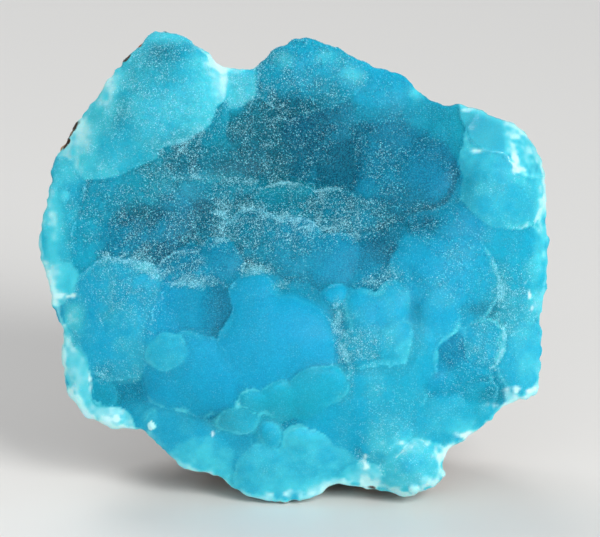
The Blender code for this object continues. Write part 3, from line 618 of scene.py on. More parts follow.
def skin_of(field):
    """The closed skin where a field crosses zero: its points, in lattice steps, and its four-sided faces."""
    inside = field < 0
    filled = np.zeros(np.array(field.shape) - 1, np.int8)
    for corner in itertools.product((0, 1), repeat=3):
        filled += inside[tuple(slice(c, n - 1 + c) for c, n in zip(corner, field.shape))]
    cells = np.argwhere((filled > 0) & (filled < 8))
    number = np.full(filled.shape, -1)
    number[tuple(cells.T)] = np.arange(len(cells))
    steps = np.eye(3, dtype=int)
    total = np.zeros((len(cells), 3))
    crossings = np.zeros(len(cells))
    for axis, step in enumerate(steps):
        for shift in itertools.product((0, 1), repeat=2):
            start = cells + np.insert(shift, axis, 0)
            a, b = field[tuple(start.T)], field[tuple((start + step).T)]
            crossed = (a < 0) != (b < 0)
            share = np.where(crossed, a / np.where(crossed, a - b, 1), 0)
            total += crossed[:, None] * (start + share[:, None] * step)
            crossings += crossed
    faces = []
    for axis, step in enumerate(steps):
        right, top = steps[(axis + 1) % 3], steps[(axis + 2) % 3]
        near = inside[tuple(slice(0, n - s) for n, s in zip(field.shape, step))]
        far = inside[tuple(slice(s, n) for n, s in zip(field.shape, step))]
        for leaving, order in ((near & ~far, 1), (far & ~near, -1)):
            edges = np.argwhere(leaving)
            around = [edges - right - top, edges - top, edges, edges - right]
            faces.append(np.stack([number[tuple(place.T)] for place in around[::order]], axis=-1))
    return total / crossings[:, None], np.concatenate(faces)


def point_normals(points, faces):
    """The direction in which a skin of triangles or four-sided faces looks at each of its points."""
    one = points[faces[:, 2]] - points[faces[:, 0]]
    other = points[faces[:, -1]] - points[faces[:, 1]]
    normals = np.zeros_like(points)
    for corner in faces.T:
        np.add.at(normals, corner, np.cross(one, other))
    return normals / np.maximum(np.linalg.norm(normals, axis=1, keepdims=True), 1e-9)


# The side that is let into the rock has coarser faces. It starts where the skin looks that far back, and that
# far in from the rim
BACK_SPACING = 3.2
BACK_FACING = -0.3
BACK_INSET = 1.2
# More than there are coarse cells in one column, so that each cell gets a number of its own
COLUMN_STRIDE = 10000


def coarser_behind(steps, faces):
    """The skin in triangles, with the points of its hidden back drawn together, a few lattice steps apart."""
    places = in_millimetres(steps)
    behind = point_normals(places, faces)[:, 2] < BACK_FACING
    behind &= distance_past_outline(places[:, 0], places[:, 1]) < -BACK_INSET
    cells = np.floor(steps[:, :2]).astype(int) // round(BACK_SPACING / SPACINGS[0])
    label = np.where(behind, cells[:, 0] * COLUMN_STRIDE + cells[:, 1], -1 - np.arange(len(steps)))
    _, number, members = np.unique(label, return_inverse=True, return_counts=True)
    drawn = np.stack([np.bincount(number, places[:, axis]) / members for axis in range(3)], axis=-1)
    triangles = number[np.concatenate([faces[:, (0, 1, 2)], faces[:, (0, 2, 3)]])]
    whole = [triangles[:, a] != triangles[:, b] for a, b in ((0, 1), (1, 2), (2, 0))]
    return drawn, triangles[np.logical_and.reduce(whole)]


CRUST_THICKNESS = 6.5
# How strongly the rock swells with the broad form, and how far the crust is let into it, so that no gap shows
ROCK_SWELL = 0.6
LET_IN = 0.7
# How round the rim is, how much the crust narrows behind it, and how far it stays above the ground
RIM_ROUNDING = 0.5
EDGE_SLOPE = 0.25
CRUST_ABOVE_GROUND = 0.15


def crust_field(lattice, skin_height):
    """The crust as a field on the lattice, below zero inside it."""
    _, up, out = np.meshgrid(*lattice, indexing="ij", sparse=True)
    flat_across, flat_up = np.meshgrid(lattice[0], lattice[1], indexing="ij")
    edge = distance_past_outline(flat_across, flat_up)
    edge += face_noise(flat_across, flat_up, RIM_WAVERING, SEEDS["rim"])
    edge = edge[..., None] + EDGE_SLOPE * np.maximum(-out, 0)
    field = blended_max(out - skin_height[..., None], edge, RIM_ROUNDING)
    back = broad_form(flat_across, flat_up, ROCK_SWELL)[..., None] - CRUST_THICKNESS - LET_IN - out
    ground = CRUST_ABOVE_GROUND - (up * math.cos(LEAN) + out * math.sin(LEAN))
    return np.maximum(np.maximum(field, back), ground)


def placed(name, data):
    """A new object in the scene."""
    made = bpy.data.objects.new(name, data)
    bpy.context.scene.collection.objects.link(made)
    return made


def mesh_object(name, points, faces, attributes):
    """A smooth-shaded mesh object, with a value per point for each named attribute."""
    mesh = bpy.data.meshes.new(name)
    mesh.vertices.add(len(points))
    mesh.vertices.foreach_set("co", np.asarray(points, np.float32).ravel())
    mesh.loops.add(faces.size)
    mesh.loops.foreach_set("vertex_index", faces.astype(np.int32).ravel())
    mesh.polygons.add(len(faces))
    mesh.polygons.foreach_set("loop_start", np.arange(0, faces.size, faces.shape[1], dtype=np.int32))
    mesh.update(calc_edges=True)
    for label, values in attributes.items():
        mesh.attributes.new(label, "FLOAT", "POINT").data.foreach_set("value", values.astype(np.float32))
    mesh.shade_smooth()
    return placed(name, mesh)


# The knob's glassy cap, broken and smooth, lies above this line (across, up). Then come how soft that line
# is, where the cap begins at its left, and how high it stands over the rest
CAP_EDGE = np.array([
    (27.6, 64.0), (28.2, 62.3), (29.0, 60.3), (31.0, 58.5), (32.8, 58.2), (34.3, 57.8), (35.5, 56.2),
    (37.3, 54.5), (39.0, 54.0), (41.5, 54.3),
])
CAP_EDGE_WIDTH = 0.12
CAP_BEGINS = (27.2, 27.6)
CAP_STEP = 0.4
# The right part of the cap is splintered, and pale: where that starts, how it fades in and how it wavers
SPLINTERED_FROM = 34.2
SPLINTER_FADE = (-0.4, 0.8)
SPLINTER_WAVER = 0.8
# The skin's unevenness, from broad clouds down to crumbs: how far apart the lumps are, and the seed
CLOUD = (8.0, 22)
MOTTLE = (2.6, 21)
FRAY = (1.3, 23)
CRUMB = (0.8, 24)
# How ragged each kind of mark is: its level, and what mottle, fray and crumb add to that
RAGGED = {
    "rim": (0.60, 0.5, 0.4, 0.3),
    "white rim": (0.7, 0, 0.7, 0),
    "border": (0.8, 0, 0.8, 0.5),
    "frost": (0.7, 0, 0.5, 0.4),
    "frosted edge": (1, 0, 0, 0.5),
    "strip": (0.9, 0, 0.6, 0.7),
    "stain": (0.8, 0, 0.8, 0.6),
    "milk": (1, 0.15, 0.25, 0.2),
    "splinters": (0.26, 0, 0.3, 0.25),
    "chips": (1, 0, 0.9, 0.9),
    "white lobes": (1, 0.4, 0, 0.4),
}
# Where each thing sets in, and where it is whole: by how far the skin looks to the front or up, by how near a
# group's edge or the rim is, or by its own strength
SETS_IN = {
    "front": (0.0, 0.3),
    "ledge": (-0.1, 0.6),
    "band": (0.35, 0.8),
    "shade past the edge": (0.1, 1.0),
    "border": (0.3, 0.7),
    "chips": (0.12, 0.72),
    "white lobes": (0.45, 0.85),
    "side": (0.3, 0.0),
    "near the rim": (2.2, 1.2),
}
# What each thing adds to a trait of the crust
FROST_FROM = {"lobe": 0.5, "place": 0.5, "ledge": 0.3, "band": 0.2, "mottle": 0.1}
# The band near the lobes' edges adds a painted sheen to the milkiness, the rim its real pale wear
MILK_FROM = {"band": 0.06, "rim": 0.5, "strips": 0.2, "mottle": 0.06, "cap": 0.24, "rim of the cap": 0.3}
# Depth of colour and painted shade: the recess and the side just past a steeper lobe's edge are darkened as
# shade, the frosted ground partly as the hollow's shade, and cloud and mottle vary the tone
SHADE_AND_DEPTH_FROM = {"recess_shade": 0.2, "frost": 0.45, "shade past the edge": 0.13, "cloud": 0.14, "mottle": 0.06}
WHITE_FROM = {"chips": 0.9, "lobes": 0.6, "rim": 0.5}
GREEN_FROM_CLOUD = 0.2
# How pale the broken side is where it isn't worn, the least frost anywhere, the least width of the pale rim,
# and how far the painted shade in hollows of the skin and the cap's pale rim reach. Last comes how much of
# the white rim the cap hides
BROKEN_SIDE = 0.25
LEAST_FROST = 0.05
LEAST_RIM = 0.1
RECESS_WIDTH = 2.5
CAP_RIM_WIDTH = 0.7
CAP_HIDES = 0.8
# How far from the rim the side is stained at its front, and what each millimetre further back adds
STAIN_REACH = 0.5
STAIN_BEHIND = 0.16


def on_cap(across, up):
    """1 on the knob's glassy cap and 0 off it."""
    above = up - np.interp(across, *CAP_EDGE.T)
    return smooth_step(above, -CAP_EDGE_WIDTH, CAP_EDGE_WIDTH) * smooth_step(across, *CAP_BEGINS)


def read_map(heights, places):
    """A map of the face, read off at each place."""
    across, up = ((places[:, k] - LATTICE_LOW[k]) / MAP_SPACING for k in range(2))
    i = np.clip(across.astype(int), 0, heights.shape[0] - 2)
    j = np.clip(up.astype(int), 0, heights.shape[1] - 2)
    x, y = across - i, up - j
    low = heights[i, j] * (1 - x) + heights[i + 1, j] * x
    high = heights[i, j + 1] * (1 - x) + heights[i + 1, j + 1] * x
    return low * (1 - y) + high * y


def crust_traits(places, facing, lobe_skin, tint_maps, edge_map):
    """What the crust's colour and gloss follow at each place, from 0 to 1, or for the edges from -1 to 1."""
    across, up, out = places.T
    inside = -distance_past_outline(across, up)
    marks = {kind: patches(spots, across, up) for kind, spots in MARKS.items()}
    cloud, mottle, fray, crumb = (soft_noise(places, *noise) for noise in (CLOUD, MOTTLE, FRAY, CRUMB))
    ragged = {kind: level + m * mottle + f * fray + c * crumb for kind, (level, m, f, c) in RAGGED.items()}
    green, tone, frost = (read_map(values, places) for values in tint_maps)

    front = smooth_step(facing[:, 2], *SETS_IN["front"])
    edge = read_map(edge_map, places) * front * (1 - np.clip(marks["faded edge"], 0, 1))
    band = smooth_step(edge, *SETS_IN["band"])
    cap = on_cap(across, up) * front
    worn = np.clip(marks["worn rim"], 0, 1)
    rim = worn * np.exp(-((inside / np.maximum(ragged["rim"], LEAST_RIM)) ** 2))

    ledge = smooth_step(facing[:, 1], *SETS_IN["ledge"])
    frosted = np.maximum(FROST_FROM["lobe"] * frost + FROST_FROM["place"] * marks["frosted"], LEAST_FROST)
    frosted *= ragged["frost"] + FROST_FROM["ledge"] * ledge + FROST_FROM["band"] * band
    frosted += FROST_FROM["mottle"] * mottle * front + band * marks["frosted edge"] * ragged["frosted edge"]
    strips = np.clip(marks["frost strip"] * ragged["strip"], 0, 1)

    # The depth of colour, with painted shade: in the hollow's marks, in recesses, on the frosted ground and
    # just past a steeper lobe's edge
    deep = np.maximum(-tone, 0) + marks["deep"]
    recess_shade = read_map(softened(lobe_skin, RECESS_WIDTH) - lobe_skin, places)
    deep += SHADE_AND_DEPTH_FROM["recess_shade"] * np.clip(recess_shade, 0, 1)
    deep += SHADE_AND_DEPTH_FROM["frost"] * np.clip(frosted, 0, 1) * (1 - band) * (1 - strips)
    deep += SHADE_AND_DEPTH_FROM["shade past the edge"] * smooth_step(-edge, *SETS_IN["shade past the edge"])
    deep += SHADE_AND_DEPTH_FROM["cloud"] * cloud + SHADE_AND_DEPTH_FROM["mottle"] * mottle

    # Painted glow and sheen: the pale border, the band near the lobes' edges and the milky marks where the
    # crust is thin, beside its real milkiness and the worn rim
    border = marks["pale border"] * smooth_step(np.maximum(edge, 1 - inside / EDGE_REACH), *SETS_IN["border"])
    milky = np.maximum(tone, 0) + marks["milky"] + MILK_FROM["band"] * band + MILK_FROM["rim"] * rim
    milky = (milky + border * ragged["border"]) * ragged["milk"] + MILK_FROM["strips"] * strips
    cap_rim = np.exp(-((inside / CAP_RIM_WIDTH) ** 2))
    milky = milky * (1 - cap) + cap * (MILK_FROM["cap"] + MILK_FROM["rim of the cap"] * cap_rim)
    splintered = (SPLINTERED_FROM + fade for fade in SPLINTER_FADE)
    milky += cap * smooth_step(across + SPLINTER_WAVER * mottle, *splintered) * ragged["splinters"]
    milky += MILK_FROM["mottle"] * mottle

    # The white chips and cracks; at the lower edge of the knob's cap they paint a highlight
    white = WHITE_FROM["chips"] * smooth_step(marks["white"] * ragged["chips"], *SETS_IN["chips"])
    white += WHITE_FROM["lobes"] * smooth_step(tone, *SETS_IN["white lobes"]) * ragged["white lobes"]
    white += WHITE_FROM["rim"] * rim * ragged["white rim"] * (1 - CAP_HIDES * cap)
    side = smooth_step(facing[:, 2], *SETS_IN["side"]) * smooth_step(inside, *SETS_IN["near the rim"])
    broken = np.maximum(side * (BROKEN_SIDE + (1 - BROKEN_SIDE) * worn) * (1 - cap), white)

    behind = np.maximum(1 - out, 0)
    stained = marks["stained"] * np.exp(-((np.maximum(inside, 0) / (STAIN_REACH + behind)) ** 2))
    stained *= ragged["stain"] + STAIN_BEHIND * behind
    traits = {
        "milky": milky,
        "deep": deep,
        "green": green + GREEN_FROM_CLOUD * cloud,
        "frosted": (frosted + strips) * (1 - cap),
        "glassy": cap,
        "broken": broken,
        "stained": stained,
    }
    return {"edge": edge, **{name: np.clip(values, 0, 1) for name, values in traits.items()}}


def colour(red, green, blue):
    """A colour given in the usual 0 to 255 values, as light intensities."""
    share = np.array([red, green, blue]) / 255
    light = np.where(share <= 0.04045, share / 12.92, ((share + 0.055) / 1.055) ** 2.4)
    return (*light.tolist(), 1.0)


def feed(material, made, inputs):
    """Feeds a node its inputs, each given by its name or number, as a value or as another node's output."""
    for name, value in inputs.items():
        if isinstance(value, bpy.types.NodeSocket):
            material.node_tree.links.new(value, made.inputs[name])
        else:
            made.inputs[name].default_value = value


def node(material, kind, inputs, **settings):
    """A new node in a material, with its settings and inputs."""
    made = material.node_tree.nodes.new(kind)
    for name, value in settings.items():
        setattr(made, name, value)
    feed(material, made, inputs)
    return made


def trait(material, name):
    """A value that the mesh holds at each of its points."""
    return node(material, "ShaderNodeAttribute", {}, attribute_name=name).outputs["Fac"]


def mixed(material, share, first, second):
    """The first colour, turning into the second as the share goes from 0 to 1."""
    return node(material, "ShaderNodeMix", {0: share, 6: first, 7: second}, data_type="RGBA").outputs[2]


def added(material, first, second, operation="ADD"):
    """Two values added."""
    return node(material, "ShaderNodeMath", {0: first, 1: second}, operation=operation).outputs[0]


def multiplied(material, first, second):
    """Two values multiplied."""
    return added(material, first, second, "MULTIPLY")


def ranged(material, value, low, high, to_low=0.0, to_high=1.0):
    """A value taken from one range to another, smoothly, and kept in it."""
    ends = {"Value": value, "From Min": low, "From Max": high, "To Min": to_low, "To Max": to_high}
    return node(material, "ShaderNodeMapRange", ends, interpolation_type="SMOOTHSTEP").outputs[0]


def by_trait(material, name, none, whole):
    """A value that goes from one to the other with a trait."""
    return ranged(material, trait(material, name), 0.0, 1.0, none, whole)


def grain(material, kind, scale, output):
    """A pattern that fills space, with so many of its lumps in a metre."""
    place = node(material, "ShaderNodeTexCoord", {}).outputs["Object"]
    return node(material, kind, {"Vector": place, "Scale": scale}).outputs[output]


def blotches(material, scale, *ends):
    """Noise with so many lumps in a metre, taken from one range to another."""
    return ranged(material, grain(material, "ShaderNodeTexNoise", scale, "Fac"), *ends)


SKY_BLUE = colour(14, 139, 174)
TEAL = colour(16, 148, 167)
DEEP_BLUE = colour(0, 64, 92)
DEEP_TEAL = colour(0, 68, 82)
CYAN = colour(70, 181, 193)
MILK = colour(166, 216, 215)
# The painted glints of the crystal points
GLINT_SPECK = colour(114, 214, 232)
BROKEN_EDGE = colour(184, 222, 224)
STAIN = colour(58, 44, 32)
# The painted sheen along the lobes' edges
EDGE_SHEEN = colour(124, 218, 240)
SUGAR = colour(24, 196, 236)
# How many crystal points there are in a metre, side by side, and how high they stand, in metres
POINTS_IN_A_METRE = 3600
POINT_HEIGHT = 0.00012
# Patterns: how many lumps they have in a metre, the range of the noise that counts, and what it is taken to
SUGAR_GRAIN = (5200, 0.38, 0.62, 0.0, 0.18)
EDGE_FRAYING = (1500, 0.3, 0.7, -0.08, 0.08)
SHEEN_GAPS = (150, 0.38, 0.65, 0.03, 0.30)
# The ranges of a trait or a pattern that count, and what they are taken to, where that isn't from 0 to 1
CYAN_RANGE = (0.0, 0.5)
MILK_RANGE = (0.4, 1.0)
STAIN_RANGE = (0.3, 0.7)
LINE_RANGE = (0.82, 0.95)
POINT_BRIGHTNESS = (0.35, 0.95)
POINT_EDGE = (0.55, 0.2)
THIN_FROST = (0.0, 0.4, 0.09, 0.64)
THICK_FROST = (0.7, 1.0, 0.0, 0.5)


def crystal_grain(material, output):
    """The crystal points as a pattern: how far each place is from the nearest one, or a colour of its own."""
    return grain(material, "ShaderNodeTexVoronoi", POINTS_IN_A_METRE, output)


def glint_specks(material):
    """How strongly the painted glints of the crystal points show in the colour: a few anywhere, and many
    where it is frosted.
    """
    which = crystal_grain(material, "Color")
    level = node(material, "ShaderNodeSeparateColor", {0: which}).outputs[0]
    bright = ranged(material, level, *POINT_BRIGHTNESS)
    point = ranged(material, crystal_grain(material, "Distance"), *POINT_EDGE)
    thin = ranged(material, trait(material, "frosted"), *THIN_FROST)
    thick = ranged(material, trait(material, "frosted"), *THICK_FROST)
    return multiplied(material, multiplied(material, added(material, thin, thick), bright), point)


def edge_sheen(material):
    """How strongly the painted sheen along the lobes' edges shows, frayed and broken off in places."""
    frayed = blotches(material, *EDGE_FRAYING)
    line = ranged(material, added(material, trait(material, "edge"), frayed), *LINE_RANGE)
    return multiplied(material, line, blotches(material, *SHEEN_GAPS))


def hemimorphite_colour(material):
    """The crust's colour, from its traits: blue to green lobes, deep and with painted shade in the hollows,
    milky and with painted glow where thin, with painted glints of the crystal points and a painted sheen on
    the lobes' edges.
    """
    green = trait(material, "green")
    body = mixed(material, green, SKY_BLUE, TEAL)
    # Deep colour, which also carries the painted shade
    body = mixed(material, trait(material, "deep"), body, mixed(material, green, DEEP_BLUE, DEEP_TEAL))
    milky = trait(material, "milky")
    body = mixed(material, ranged(material, milky, *CYAN_RANGE), body, CYAN)
    body = mixed(material, ranged(material, milky, *MILK_RANGE), body, MILK)
    body = mixed(material, blotches(material, *SUGAR_GRAIN), body, SUGAR)
    body = mixed(material, glint_specks(material), body, GLINT_SPECK)
    body = mixed(material, edge_sheen(material), body, EDGE_SHEEN)
    body = mixed(material, trait(material, "broken"), body, BROKEN_EDGE)
    return mixed(material, ranged(material, trait(material, "stained"), *STAIN_RANGE), body, STAIN)


def new_material(name):
    """A material with a shader and no finish as yet."""
    made = bpy.data.materials.new(name)
    made.use_nodes = True
    return made


def finished(material, inputs):
    """The material, with these inputs to its shader."""
    feed(material, material.node_tree.nodes["Principled BSDF"], inputs)
    return material


def crust_material():
    """Hemimorphite: light goes a little way in, crystal points roughen it, and the knob's cap is glossy."""
    made = new_material("blue hemimorphite")
    points = crystal_grain(made, "Distance")
    rough = by_trait(made, "frosted", 0.2, 0.6)
    bump = node(made, "ShaderNodeBump", {"Strength": rough, "Distance": POINT_HEIGHT, "Height": points})
    return finished(made, {
        "Base Color": hemimorphite_colour(made),
        "Roughness": by_trait(made, "glassy", 0.5, 0.16),
        "Specular IOR Level": by_trait(made, "glassy", 0.1, 0.6),
        "Normal": bump.outputs[0],
        "IOR": 1.5,
        "Subsurface Weight": 1.0,
        "Subsurface Radius": (0.2, 1.0, 1.3),
        "Subsurface Scale": 0.0022,
    })


lattice = [np.arange(low, high, step) for low, high, step in zip(LATTICE_LOW, LATTICE_HIGH, SPACINGS)]
fine = [low + MAP_SPACING * np.arange(MAP_STEPS * len(line)) for low, line in zip(LATTICE_LOW, lattice[:2])]
face_across, face_up = np.meshgrid(*fine, indexing="ij")
lobe_skin, tint_maps, edge_map = face_maps(face_across, face_up)
frosted = np.clip(patches(MARKS["frosted"], face_across, face_up), 0, 1)
roughness = SMOOTH_SHARE + (1 - SMOOTH_SHARE) * frosted
skin_height = lobe_skin + roughness * face_noise(face_across, face_up, SKIN_WAVERING, SEEDS["skin"])
skin_height += CAP_STEP * on_cap(face_across, face_up)
skin_height = skin_height[::MAP_STEPS, ::MAP_STEPS]
skin, crust_faces = coarser_behind(*skin_of(crust_field(lattice, skin_height)))
traits = crust_traits(skin, point_normals(skin, crust_faces), lobe_skin, tint_maps, edge_map)
crust = mesh_object("blue_crust", in_space(skin), crust_faces, traits)
crust.data.materials.append(crust_material())
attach(crust, "root")
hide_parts("hemimorphite_crust")


# The crystal points. Each lobe ends in a sugar of tiny hemimorphite crystals, up to a quarter of a millimetre
# across, which stand out and catch the light, and the bright ones carry a painted glint in their colour. They
# are thickest on the ledges and in the hollow.

CRYSTALS = 80000
CRYSTAL_PIECES = ("crystal_points_left", "crystal_points_middle", "crystal_points_right")
# Half the width of a crystal, how far its tip stands out, how far its foot is sunk, and how much it leans
CRYSTAL_WIDTH = (0.05, 0.115)
CRYSTAL_HEIGHT = (0.06, 0.18)
CRYSTAL_ROOT = 0.12
CRYSTAL_TILT = 0.55
CRYSTAL_FACES = np.array([(0, 1, 4), (1, 2, 4), (2, 3, 4), (3, 0, 4), (2, 1, 0), (3, 2, 0)])
CRYSTAL_SEEDS = {"places": 7, "shapes": 8}
# How likely a crystal is on bare ground, how steeply that grows with frost, and which way the skin has to
# look: from none to all of them
BARE_CHANCE = 0.004
FROST_POWER = 1.7
CRYSTAL_FACING = (-0.1, 0.2)
# How rare the bright ones with a painted glint are and how bright they may be, each on bare ground and what
# full frost adds
RARITY = (3.2, -2.5)
BRIGHTEST = (0.1, 2)


def scattered_crystals(skin, faces, traits):
    """The middle, direction and traits of each crystal, drawn where the crust's front is frosted."""
    draw = np.random.default_rng(CRYSTAL_SEEDS["places"])
    corners = skin[faces]
    normal = np.cross(corners[:, 1] - corners[:, 0], corners[:, 2] - corners[:, 0])
    size = np.linalg.norm(normal, axis=1) / 2
    normal /= 2 * np.maximum(size, 1e-9)[:, None]
    at_face = {name: values[faces].mean(axis=1) for name, values in traits.items()}
    chance = size * (BARE_CHANCE + at_face["frosted"] ** FROST_POWER) * (1 - at_face["glassy"])
    chance *= smooth_step(normal[:, 2], *CRYSTAL_FACING) * (1 - at_face["broken"])
    chosen = draw.choice(len(faces), CRYSTALS, p=chance / chance.sum())
    share = draw.dirichlet((1, 1, 1), CRYSTALS)
    place = (share[:, :, None] * corners[chosen]).sum(axis=1)
    direction = normal[chosen] + draw.normal(0, CRYSTAL_TILT, (CRYSTALS, 3))
    direction /= np.linalg.norm(direction, axis=1, keepdims=True)
    found = {name: values[chosen] for name, values in at_face.items()}
    rarity, brightest = (bare + more * found["frosted"] for bare, more in (RARITY, BRIGHTEST))
    found["bright"] = draw.uniform(0, 1, CRYSTALS) ** rarity * np.clip(brightest, 0, 1)
    return place, direction, found


def crystal_points(place, direction):
    """The five points of each crystal: four round its foot, and its tip."""
    draw = np.random.default_rng(CRYSTAL_SEEDS["shapes"])
    side = np.cross(direction, draw.normal(0, 1, direction.shape))
    side /= np.linalg.norm(side, axis=1, keepdims=True)
    other = np.cross(direction, side)
    width = draw.uniform(*CRYSTAL_WIDTH, (len(place), 1))
    height = draw.uniform(*CRYSTAL_HEIGHT, (len(place), 1))
    foot = place - CRYSTAL_ROOT * direction
    around = [foot + width * way for way in (side, other, -side, -other)]
    return np.stack([*around, place + height * direction], axis=1)


# The painted glint of the bright crystal points
SPARKLE = colour(150, 220, 234)


def crystal_material():
    """Clear crystal points that take the crust's colour, the bright ones with a painted glint, nearly white,
    and glossier.
    """
    made = new_material("hemimorphite crystal points")
    return finished(made, {
        "Base Color": mixed(made, by_trait(made, "bright", 0.0, 0.95), hemimorphite_colour(made), SPARKLE),
        "Specular IOR Level": by_trait(made, "bright", 0.1, 0.4),
        "Roughness": 0.3,
        "IOR": 1.61,
    })


place, direction, found = scattered_crystals(skin, crust_faces, traits)
corners = crystal_points(place, direction)
finish = crystal_material()
for name, chosen in zip(CRYSTAL_PIECES, np.array_split(np.argsort(place[:, 0]), len(CRYSTAL_PIECES))):
    offsets = 5 * np.arange(len(chosen))[:, None, None]
    triangles = (CRYSTAL_FACES + offsets).reshape(-1, 3)
    spread = {label: np.repeat(values[chosen], 5) for label, values in found.items()}
    crystals = mesh_object(name, in_space(corners[chosen].reshape(-1, 3)), triangles, spread)
    crystals.data.shade_flat()
    crystals.data.materials.append(finish)
    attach(crystals, "root")


# The rock that the crust grew on. It is brown limonite, rusty and porous, and it is broken all round and
# behind, with a flat foot that the specimen stands on.

ROCK_SPACING = 0.55
# The rock's relief: how far apart the lumps of each layer are, and how far they move the surface
ROCK_RELIEF = ((6.0, 0.55), (2.6, 0.40), (1.2, 0.18))
# The crags: how far apart and how high they are, and at what share of that height the old surface lies
CRAG_SPACING = 3.4
CRAG_HEIGHT = 0.55
CRAG_LEVEL = 0.7
# The pits: how far apart and how deep they are, how wide a pit is from its lip to its floor, as shares of the
# spacing, and how far apart the stretches that have them are, and where those set in
VUG_SPACING = 4.6
VUG_DEPTH = 1.1
VUG_LIP = (0.42, 0.18)
VUG_STRETCH = 11.0
VUG_FROM = (-0.1, 0.25)
# The relief fades out over the foot, so that it stays flat
FOOT_FADE = 1.5
# How dark the painted shade on low ground next to a pit is, how low that ground is, and how high a crag is
# where it is dustiest
LOW_SHADE = 0.6
LOW_GROUND = -0.9
HIGH_GROUND = 0.5
ROCK_SEEDS = {"relief": 60, "crags": 66, "pits": 67, "pitted stretches": 68}


def cell_distance(places, spacing, seed):
    """How far each place is from the nearest of many points, scattered that far apart, as a share of that."""
    table = np.random.default_rng(seed).uniform(0, 1, (TABLE_ROWS, 3))
    cells = np.floor(places / spacing).astype(np.int64)
    nearest = np.full(len(places), np.inf)
    for neighbour in itertools.product((-1, 0, 1), repeat=3):
        scattered = cells + neighbour + table[table_row(cells + neighbour)]
        nearest = np.minimum(nearest, np.linalg.norm(places / spacing - scattered, axis=1))
    return nearest


def rock_skin():
    """The points, in millimetres, and faces of the rock's solid, with an even skin."""
    core = placed("rock_core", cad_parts["brown_matrix"].data.copy())
    remesh = core.modifiers.new("even skin", "REMESH")
    remesh.mode = "VOXEL"
    remesh.voxel_size = ROCK_SPACING * MM
    bpy.context.view_layer.update()
    solid = core.evaluated_get(bpy.context.evaluated_depsgraph_get()).to_mesh()
    places = np.empty(len(solid.vertices) * 3, np.float32)
    solid.vertices.foreach_get("co", places)
    corners = np.empty(len(solid.polygons) * 4, np.int32)
    solid.polygons.foreach_get("vertices", corners)
    bpy.data.objects.remove(core)
    return places.reshape(-1, 3).astype(float) / MM, corners.reshape(-1, 4)


def roughened(places, facing):
    """The rock's points moved by its relief, and how deep in a pit and how high on a crag each one is."""
    relief = layered_noise(places, ROCK_RELIEF, ROCK_SEEDS["relief"])
    crag = 1 - 2 * np.abs(soft_noise(places, CRAG_SPACING, ROCK_SEEDS["crags"]))
    vug = smooth_step(cell_distance(places, VUG_SPACING, ROCK_SEEDS["pits"]), *VUG_LIP)
    vug *= smooth_step(soft_noise(places, VUG_STRETCH, ROCK_SEEDS["pitted stretches"]), *VUG_FROM)
    fade = smooth_step(places[:, 2], 0.0, FOOT_FADE)
    moved = fade * (relief + CRAG_HEIGHT * (crag - CRAG_LEVEL) - VUG_DEPTH * vug)
    pit = np.clip(vug + LOW_SHADE * smooth_step(moved, 0.0, LOW_GROUND), 0, 1)
    return places + moved[:, None] * facing, {"pit": pit, "crag": smooth_step(moved, 0.0, HIGH_GROUND)}


LIMONITE = colour(92, 62, 40)
RUST = colour(134, 82, 44)
OCHRE = colour(176, 134, 84)
DARK_IRON = colour(40, 29, 23)
DUST = colour(186, 168, 140)
# The colours over the limonite: how many blotches there are in a metre, and where they set in and are whole
ROCK_BLOTCHES = ((90, 0.40, 0.62, RUST), (260, 0.52, 0.68, OCHRE), (160, 0.55, 0.66, DARK_IRON))
# The dust and the dullness as patterns like those of the crust, and the rock's fine lumps, in metres
DUST_SPECKS = (1500, 0.56, 0.7)
DULLNESS = (500, 0.3, 0.7, 0.62, 0.95)
LUMPS_IN_A_METRE = 1600
LUMP_HEIGHT = 0.0004


def rock_material():
    """Limonite: rusty and ochre blotches, painted shade in its pits, dusty on its crags, and rough all over.
    """
    made = new_material("brown limonite")
    body = LIMONITE
    for scale, low, high, tint in ROCK_BLOTCHES:
        body = mixed(made, blotches(made, scale, low, high), body, tint)
    # Painted shade in the pits and on low ground next to them, in the dark iron colour
    body = mixed(made, trait(made, "pit"), body, DARK_IRON)
    dust = multiplied(made, trait(made, "crag"), blotches(made, *DUST_SPECKS))
    lumps = grain(made, "ShaderNodeTexNoise", LUMPS_IN_A_METRE, "Fac")
    bump = node(made, "ShaderNodeBump", {"Strength": 0.8, "Distance": LUMP_HEIGHT, "Height": lumps})
    return finished(made, {
        "Base Color": mixed(made, dust, body, DUST),
        "Roughness": blotches(made, *DULLNESS),
        "Normal": bump.outputs[0],
    })


places, rock_faces = rock_skin()
places, rock_traits = roughened(places, point_normals(places, rock_faces))
rock = mesh_object("limonite_rock", places * MM, rock_faces, rock_traits)
rock.data.materials.append(rock_material())
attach(rock, "root")
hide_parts("brown_matrix")


# The table and the light. The specimen stands on a pale table in a pale room. It is lit by a wide soft lamp
# from the upper right, a weaker one low in front, and one high behind that brightens the table.

FLOOR_RADIUS = 1.6
FLOOR_SIDES = 96
FLOOR_COLOUR = colour(217, 216, 213)
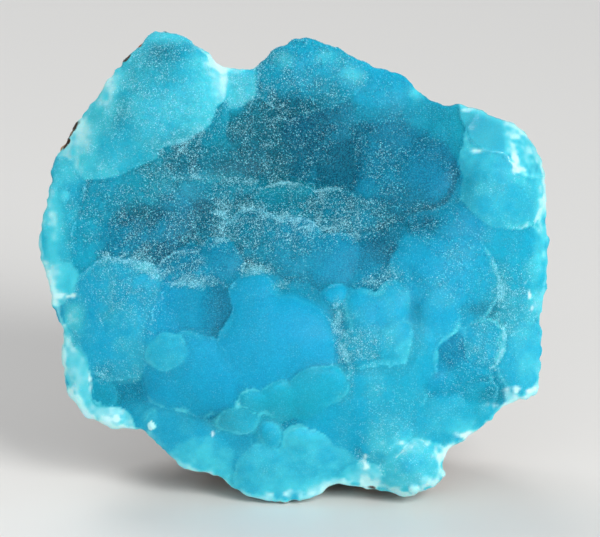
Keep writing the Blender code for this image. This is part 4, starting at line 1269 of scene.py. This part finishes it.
# Each lamp is given as: where it is (right, back, up), its width, its strength and where it points, in metres
LAMPS = {
    "wide lamp": ((0.62, -1.01, 0.68), 0.54, 20.0, (0, 0, 0.035)),
    "front lamp": ((-0.25, -0.90, 0.34), 0.70, 3.0, (0, 0, 0.02)),
    "back lamp": ((-0.45, 1.00, 1.40), 0.90, 12.0, (-0.15, 0.70, 0)),
}
ROOM_COLOUR = colour(240, 242, 246)
ROOM_STRENGTH = 0.40

floor_mesh = bpy.data.meshes.new("table_top")
turns = [2 * math.pi * k / FLOOR_SIDES for k in range(FLOOR_SIDES)]
rim = [(FLOOR_RADIUS * math.cos(turn), FLOOR_RADIUS * math.sin(turn), 0) for turn in turns]
floor_mesh.from_pydata(rim, [], [range(FLOOR_SIDES)])
finish = finished(new_material("pale table"), {"Base Color": FLOOR_COLOUR, "Roughness": 0.45})
floor_mesh.materials.append(finish)
floor = placed("table_top", floor_mesh)

for name, (stand, width, strength, target) in LAMPS.items():
    lamp = bpy.data.lights.new(name, "AREA")
    lamp.size = width
    lamp.energy = strength
    holder = placed(name, lamp)
    holder.location = stand
    holder.rotation_euler = (Vector(target) - Vector(stand)).to_track_quat("-Z", "Y").to_euler()

room = bpy.data.worlds.new("pale room")
room.use_nodes = True
feed(room, room.node_tree.nodes["Background"], {"Color": ROOM_COLOUR, "Strength": ROOM_STRENGTH})
bpy.context.scene.world = room
bpy.context.scene.view_settings.view_transform = "Standard"


# The camera. It stands far off and looks straight at the face, as in the photograph. The picture is this wide
# on the face, and its middle lies at this place there: across, up, out.

PICTURE_WIDTH = 100.0
PICTURE_MIDDLE = (0.833, 39.08, 1.5)
CAMERA_DISTANCE = 600.0

camera = placed("camera", bpy.data.cameras.new("camera"))
camera.location = in_space(PICTURE_MIDDLE[:2] + (PICTURE_MIDDLE[2] + CAMERA_DISTANCE,))
camera.rotation_euler = (math.pi / 2 - LEAN, 0, 0)
camera.data.lens = camera.data.sensor_width * CAMERA_DISTANCE / PICTURE_WIDTH
camera.data.clip_start = 0.01
bpy.context.scene.camera = camera
